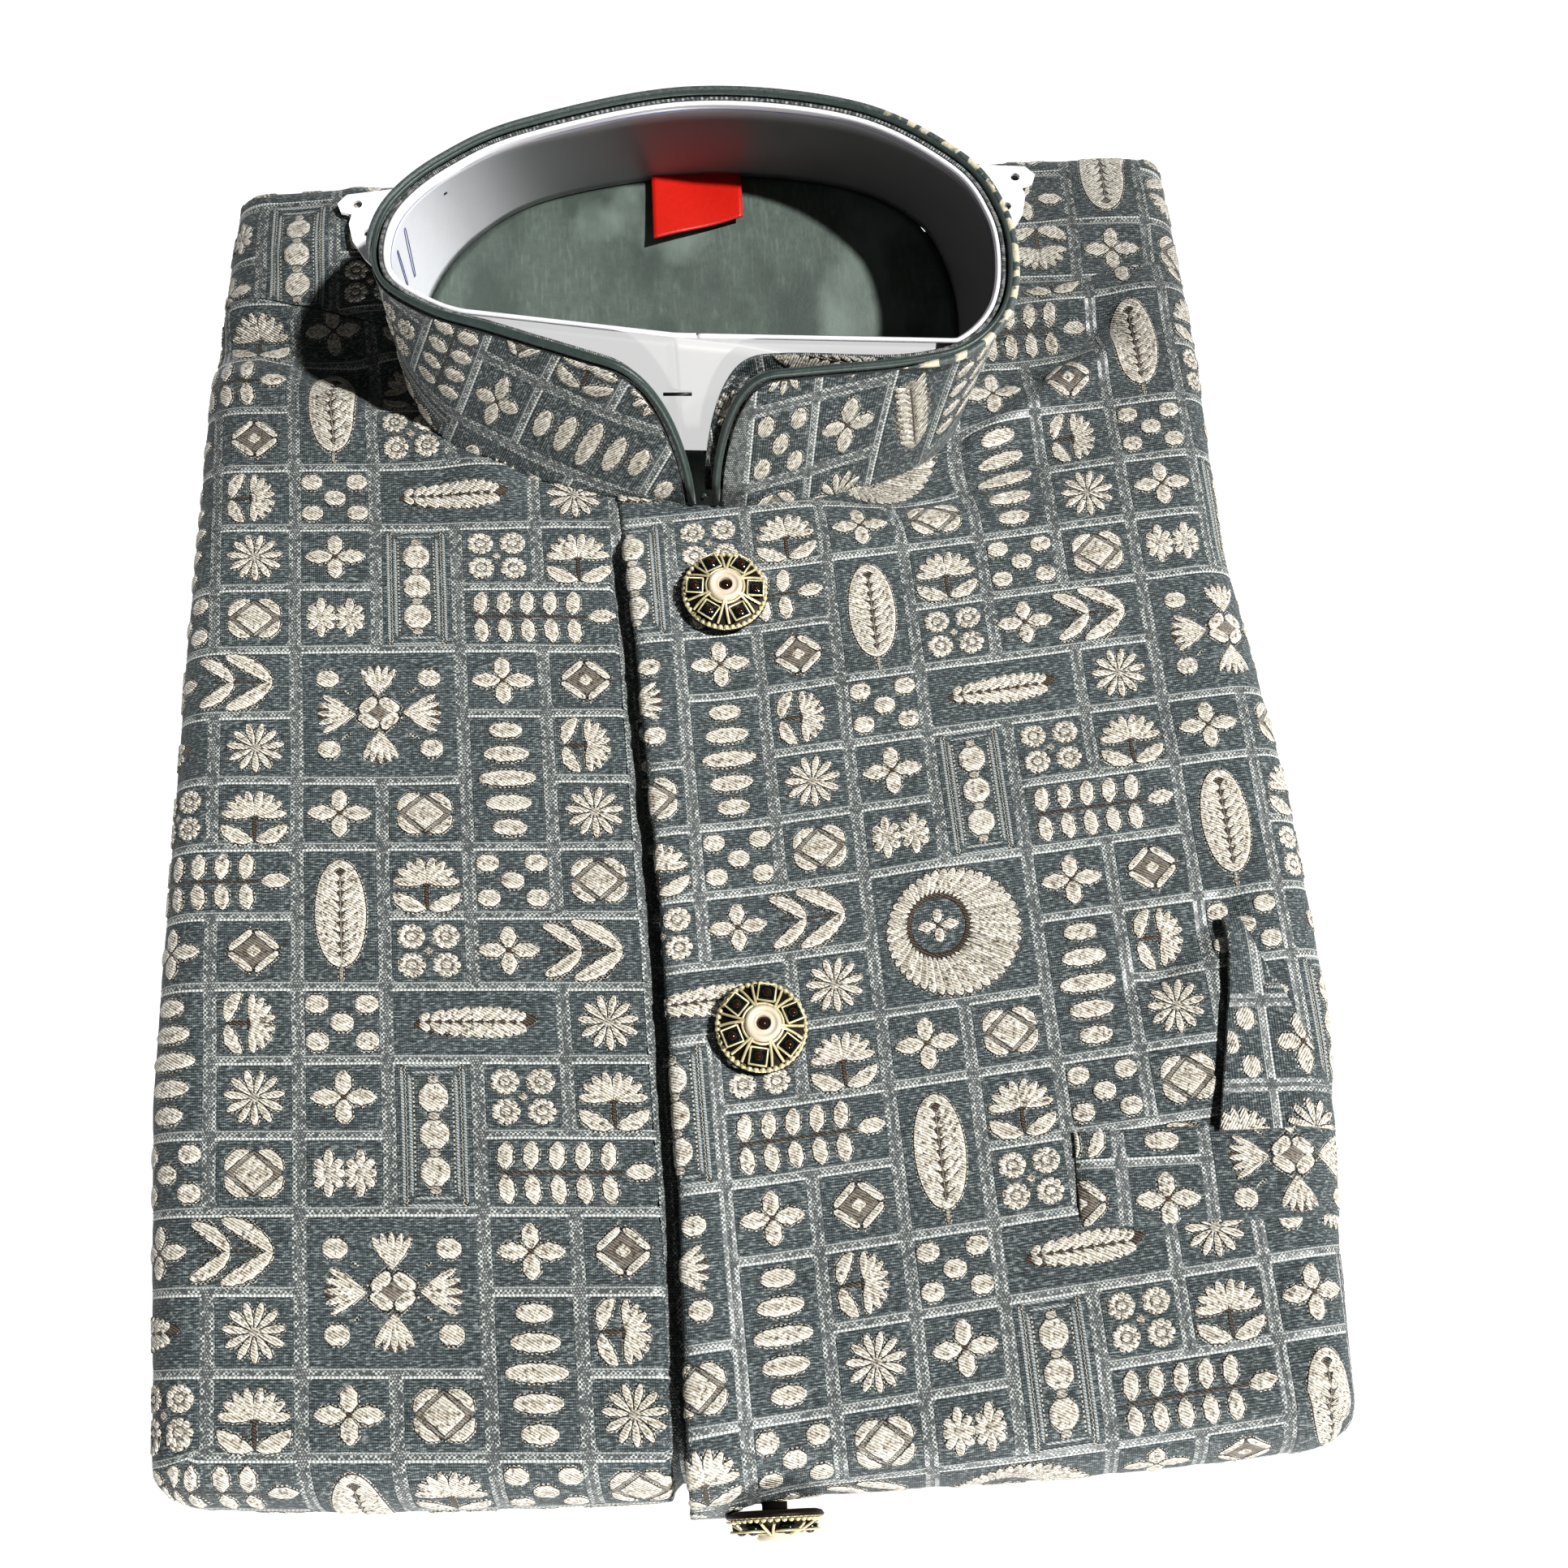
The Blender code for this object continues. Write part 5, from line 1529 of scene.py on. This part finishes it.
def make_band():
    """A white strip bent round inside the collar; its ends lap at the front."""
    runs = steps(0.0, RING_LENGTH, 1.5)
    run, rise, faces = spread(runs, steps(0.0, 1.0, 0.08))
    uv = np.column_stack((run, rise * WALL_HEIGHT))
    # painted shade: far is how much of the grey painted shade the band's inside gets round the back
    far = smooth((RING_LENGTH - 150.0 - run) / 55.0)
    make_piece(
        "band_loop", band_surface(run, rise), faces, "card_loop_painted_shade", uv, ["collar_band"],
        wall=0.9, values={"far": far},
    )
    make_cord("band_rim", band_surface(runs, 1.0) + (0.0, 0.0, -0.1), 0.62, "card")
    inner = band_surface(steps(30.0, RING_LENGTH - 60.0, 1.5), 0.955)
    make_cord("band_rim_line", inner + towards_neck(inner) * 0.92, 0.15, "pencil", 5)
    for name, ends, drops, outs in BAND_ENDS:
        x, level, faces = spread(steps(ends[0], ends[2], 1.0), steps(0.0, 1.0, 0.1))
        z = mix(26.0, BAND_RIM_Z - np.interp(x, ends, drops), level)
        share = (z - BAND_LEAST_FOOT) / (BAND_RIM_Z - BAND_LEAST_FOOT)
        y = mix(read_table(BAND_CHORD, x, 2), read_table(BAND_CHORD, x, 1), share) - np.interp(x, ends, outs)
        points = np.column_stack((x, y, z))
        # painted light: the band's ends glow by emission
        make_piece(name, points, faces, "card_front_painted_glow", points[:, ::2], wall=0.5)
    for count, (top_run, top, foot_run, foot) in enumerate(BAND_SLOTS, 1):
        turn = np.linspace(0.0, math.tau, 33)
        share = 0.5 - 0.5 * np.cos(turn)
        aside = 0.75 * np.sign(np.sin(turn)) * np.abs(np.sin(turn)) ** 0.3
        path = band_surface(RING_LENGTH - mix(top_run, foot_run, share) + aside, mix(top, foot, share))
        path += towards_neck(path.mean(axis=0, keepdims=True))
        make_cord(f"band_slot_{count}", path, 0.14, "pencil", 6)
    path = band_surface(RING_LENGTH - np.array((163.4, 162.9, 162.4)), 0.80)
    path += towards_neck(path.mean(axis=0, keepdims=True)) * 0.9
    make_cord("band_hole", path, 0.35, "black")


def make_neck():
    """The plain lining seen down the neck, and the blank label on it."""
    across = steps(-1.0, 1.0, 0.03)
    u, v, faces = spread(across, across)
    share = np.maximum(np.abs(u), np.abs(v))
    turn = np.arctan2(v, u)
    radius = (neck_radius(turn) - LINING_INSET - 0.6) * share
    x = NECK_CENTRE[0] + radius * np.cos(turn)
    y = NECK_CENTRE[1] + radius * np.sin(turn)
    wave = 0.5 * np.sin(x / 9.0 + y / 17.0) * np.sin(y / 11.0 - x / 23.0) * (1.0 - share)
    points = np.column_stack((x, y, lining_height(y) - 0.2 + wave))
    name, uv = "neck_lining_cloth", points[:, :2]
    lining = make_piece(name, points, faces, "lining", uv, ["neck_lining"], wall=0.8)
    SHEETS.append((lining, "laid", "folded_layers", ()))

    across = steps(0.0, 1.0, 0.05)
    a, b, faces = spread(across, across)
    x = mix(-13.5, 10.8, a)
    y = mix(mix(156.0, 162.2, a), 178.0, b)
    curl = 1.8 * (1.0 - b) ** 2 + 1.4 * (1.0 - a) ** 2 + 0.9 * np.sin(math.pi * b) * a
    points = np.column_stack((x, y, lining_height(y) + 1.0 + curl + 0.25 * np.sin(7 * a + 2 * b)))
    name, uv = "neck_label_ribbon", points[:, :2]
    label = make_piece(name, points, faces, "label", uv, ["neck_label"], wall=0.35)
    SHEETS.append((label, "laid", "neck_lining_cloth", ()))


# The chest pocket


def above_chest(lift):
    return lambda s, t: on_chest(s, t) + normals_of(on_chest, s, t) * lift(s, t)[:, None]


def make_pocket():
    low, high = WELT_Y

    def welt_border(s, t):
        t = np.clip(t, low, high)
        return np.clip(s, WELT_X + 0.02 * (t - low), 139.0), t

    def welt_lift(s, t):
        top = 1.2 - 0.4 * smooth((low + 1.5 - t) / 1.5) - 0.6 * smooth((s - 120.0) / 12.0)
        return top * (0.35 + 0.65 * smooth((s - WELT_X) / 2.5))

    welt = Panel("pocket_welt", above_chest(welt_lift), welt_border)
    shell = welt.shell(steps(74.0, 140.0, 1.2), steps(low, high, 0.9), 1.2)
    SHEETS.append((shell, "laid", "front_left_cloth", welt.brocade(74.0, 140.0, low, high)))

    foot, top = POCKET_SQUARE[0, 0], POCKET_SQUARE[-1, 0]

    def square_border(s, t):
        t = np.clip(t, foot, top)
        return np.clip(s, read_table(POCKET_SQUARE, t, 1), read_table(POCKET_SQUARE, t, 2)), t

    def square_lift(s, t):
        left, right = (read_table(POCKET_SQUARE, t, column) for column in (1, 2))
        share = np.clip(1.0 - (s - left) / (right - left), 0.0, 1.0)
        return 1.3 + 1.6 * share**2 - 0.6 * smooth((s - 126.0) / 8.0)

    square = Panel("pocket_square", above_chest(square_lift), square_border)
    shell = square.shell(steps(107.0, 140.0, 1.0), steps(foot, top, 1.0), 1.2)
    SHEETS.append((shell, "folded", "front_left_cloth", square.brocade(107.0, 140.0, foot, top)))


# The buttons, each in its own place at first: the cloth at 0, its face up


def spun(points, turn):
    """Points turned about the button's axis."""
    x, y, z = np.transpose(points)
    cos, sin = math.cos(turn), math.sin(turn)
    return np.column_stack((x * cos - y * sin, x * sin + y * cos, z))


def turned(profile, sides=64):
    """A round shape from a profile of radius and height, closed at the axis."""
    radius, height = np.transpose(profile)
    turn = np.linspace(0.0, math.tau, sides + 1)
    points = np.stack((
        np.outer(radius, np.cos(turn)), np.outer(radius, np.sin(turn)), np.outer(height, np.ones(sides + 1)),
    ), axis=-1)
    return points.reshape(-1, 3), grid_faces(len(radius), sides + 1)


def ball(x, y, z, radius, high):
    """The upper half of a ball, as high as high says."""
    up = np.linspace(0.0, math.pi / 2, 6)
    points, faces = turned(np.column_stack((radius * np.cos(up), high * np.sin(up))), 10)
    return points + (x, y, z), faces


def stone(turn):
    """A square stone in the ring between the body's rim and middle, a little smaller on top."""
    points = []
    for level, size in ((0.0, 1.0), (0.7, 0.95), (1.0, 0.8)):
        for a, b in SQUARE:
            half = STONE_SIDE / 2 * size
            height = dome(STONE_RADIUS) - 0.4 + STONE_HEIGHT * level
            points.append((STONE_RADIUS + a * half, b * half, height))
    faces = [(0, 3, 2, 1), (8, 9, 10, 11)]
    for level in (0, 4):
        faces += [(level + a, level + (a + 1) % 4, level + 4 + (a + 1) % 4, level + 4 + a) for a in range(4)]
    return spun(points, turn), np.array(faces)


def dome(radius):
    return 7.4 - 3.0 * (radius / 9.6) ** 2


def button_shapes():
    """The button's shapes: kind, points, faces and look."""
    body = [(0.02, 7.0)] + [(r, dome(r) - 0.5) for r in np.linspace(1.0, 9.6, 8)]
    body += [(10.6, 3.6), (10.9, 3.2), (10.4, 2.4), (9.0, 2.0), (2.8, 2.0), (2.8, 0.3), (0.02, 0.3)]
    ring = [(4.35, 6.4), (4.35, 7.2), (4.1, 7.9), (3.6, 8.3), (3.0, 8.0), (2.5, 7.4), (2.0, 8.1), (1.7, 7.9)]
    ring += [(1.5, 7.1)]
    gold, stones, gems = [], [], []
    around = np.linspace(0.0, math.tau, 61)
    for radius, height, thick in ((10.25, 3.3, 0.5), (4.75, dome(4.75) + 0.1, 0.3)):
        circle = np.column_stack((radius * np.cos(around), radius * np.sin(around), np.full(61, height)))
        gold.append(tube(circle, thick, 8)[:2])
    for spot in np.arange(42) / 42 * math.tau:
        gold.append(ball(10.2 * math.cos(spot), 10.2 * math.sin(spot), 3.9, 0.68, 0.68))
    for turn in np.arange(6) / 6 * math.tau:
        x, y = STONE_RADIUS * math.cos(turn), STONE_RADIUS * math.sin(turn)
        stones.append(stone(turn))
        gems.append(ball(x, y, dome(STONE_RADIUS) + 0.9, 1.1, 0.7))
        edge = [(STONE_RADIUS + 2.0 * a, 2.0 * b, dome(STONE_RADIUS) + 0.75) for a, b in (*SQUARE, SQUARE[0])]
        gold.append(tube(spun(edge, turn), 0.30, 5)[:2])
        reach = np.linspace(4.2, 9.7, 6)
        for aside in (-0.11, 0.11):
            way = turn + math.tau / 12 + aside * (reach - 4.2) / 5.5 + 0.4 * aside
            bar = np.column_stack((reach * np.cos(way), reach * np.sin(way), dome(reach) + 0.35))
            gold.append(tube(bar, 0.34, 6)[:2])
    gems.append(ball(0.0, 0.0, 7.3, 1.45, 0.9))
    return (
        ("body", *turned(body), "gold_dark"),
        ("filigree", *join(gold), "gold"),
        ("stones", *join(stones), "stone"),
        ("gems", *join(gems), "gem"),
        ("ring", *turned(ring), "pearl"),
    )


def chest_seat(x, y):
    """A button's place on the chest, and its turn to lie along the cloth there."""
    reach = BUTTON_REACH
    spots = on_chest(np.array((x, x + reach, x - reach, x, x)), np.array((y, y, y, y + reach, y - reach)))
    tilt_y = -math.atan2(spots[1, 2] - spots[2, 2], 2 * reach)
    tilt_x = math.atan2(spots[3, 2] - spots[4, 2], 2 * reach)
    return spots[0], Matrix.Rotation(tilt_x, 3, "X") @ Matrix.Rotation(tilt_y, 3, "Y")


def near_seat(x, rise=0.50):
    """The third button's seat, on the near fold's outermost line, and its turn to face out."""
    x_at, y_at = np.array((x,)), np.array((NEAR_Y + FOLD_REACH,))
    depth = float(placket_lift(x_at, y_at)[0]) * float(smooth(rise / LIFT_FADE_RISE))
    high = float(top_height(x_at, y_at)[0])
    return np.array((x, NEAR_Y + depth, (high - depth) * rise)), Matrix.Rotation(math.radians(90), 3, "X")


def make_buttons():
    shapes = button_shapes()
    seats = [chest_seat(x, y) for x, y in CHEST_BUTTONS] + [near_seat(NEAR_BUTTON_X)]
    for number, ((seat, turn), spin) in enumerate(zip(seats, BUTTON_SPINS), 1):
        rotation = np.array(turn @ Matrix.Rotation(math.radians(spin), 3, "Z"))
        for kind, points, faces, look in shapes:
            make_piece(
                f"button_{number}_{kind}", points @ rotation.T + seat, faces, look, points[:, :2],
                [f"button_{number}"] if kind == "body" else (), even=kind != "stones",
            )


def make_small_metal():
    hook = np.array(((-3.4, 79.0, 29.2), (-3.4, 78.4, 31.6), (-2.6, 78.2, 32.8), (-1.8, 78.4, 31.6)))
    make_cord("hook_wire", rounded(hook, 6), 0.4, "steel", nodes=["collar_hook"])
    pin = np.array(((-11.8, 99.6, 47.0), (-8.0, 99.3, 47.2), (-4.6, 99.0, 47.4)))
    make_cord("band_pin", pin, 0.45, "black")


def dress_plate():
    """The plate is hard and stays as it was cut, in white card."""
    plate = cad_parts["collar_butterfly"]
    plate.data.materials.clear()
    plate.data.materials.append(LOOKS["card"])


def light_and_camera():
    scene = bpy.context.scene
    scene.view_settings.view_transform = "Standard"
    scene.view_settings.look = "Medium High Contrast"
    world = bpy.data.worlds.new("soft white")
    world.use_nodes = True
    background = world.node_tree.nodes["Background"]
    background.inputs["Color"].default_value = (1.0, 1.0, 1.0, 1.0)
    background.inputs["Strength"].default_value = WORLD_LIGHT
    scene.world = world

    for name, way, energy, angle in SUNS:
        sun = bpy.data.lights.new(name, "SUN")
        sun.energy = energy
        sun.angle = math.radians(angle)
        light = bpy.data.objects.new(name, sun)
        light.rotation_euler = Vector(way).to_track_quat("Z", "Y").to_euler()
        scene.collection.objects.link(light)

    floor_mesh = bpy.data.meshes.new("floor")
    floor_mesh.from_pydata([(a * FLOOR_HALF, b * FLOOR_HALF, 0) for a, b in SQUARE], [], [(0, 1, 2, 3)])
    floor_mesh.materials.append(LOOKS["floor"])
    floor = bpy.data.objects.new("floor", floor_mesh)
    floor.location.z = -FLOOR_DROP
    scene.collection.objects.link(floor)

    camera_data = bpy.data.cameras.new("camera")
    camera_data.sensor_width = SENSOR
    camera_data.lens = FOCAL_PIXELS / PHOTO_SIDE * SENSOR
    camera_data.dof.use_dof = False
    camera = bpy.data.objects.new("camera", camera_data)
    camera.location = (Vector(CAMERA_AT) - Vector((0.0, BOX_MIDDLE_Y, 0.0))) * MM
    up, yaw = math.radians(ELEVATION), math.radians(YAW)
    ahead = Vector((math.sin(yaw) * math.cos(up), math.cos(yaw) * math.cos(up), -math.sin(up)))
    camera.rotation_euler = ahead.to_track_quat("-Z", "Y").to_euler()
    scene.collection.objects.link(camera)
    scene.camera = camera


def declare_cloth():
    """Each piece's places across and along, the flat cloth's in millimetres, read from its cloth map and
    turned to metres; nothing is done with them.
    """
    for piece, held, under, pattern in SHEETS:
        layer = piece.data.uv_layers["cloth"].data
        flat = np.empty(2 * len(layer), np.float32)
        layer.foreach_get("uv", flat)
        across, along = (flat.reshape(-1, 4, 2) * MM).transpose(2, 0, 1)


make_fronts()
make_back()
make_core()
make_collar()
make_band()
make_neck()
make_pocket()
make_buttons()
make_small_metal()
dress_plate()
declare_cloth()
light_and_camera()
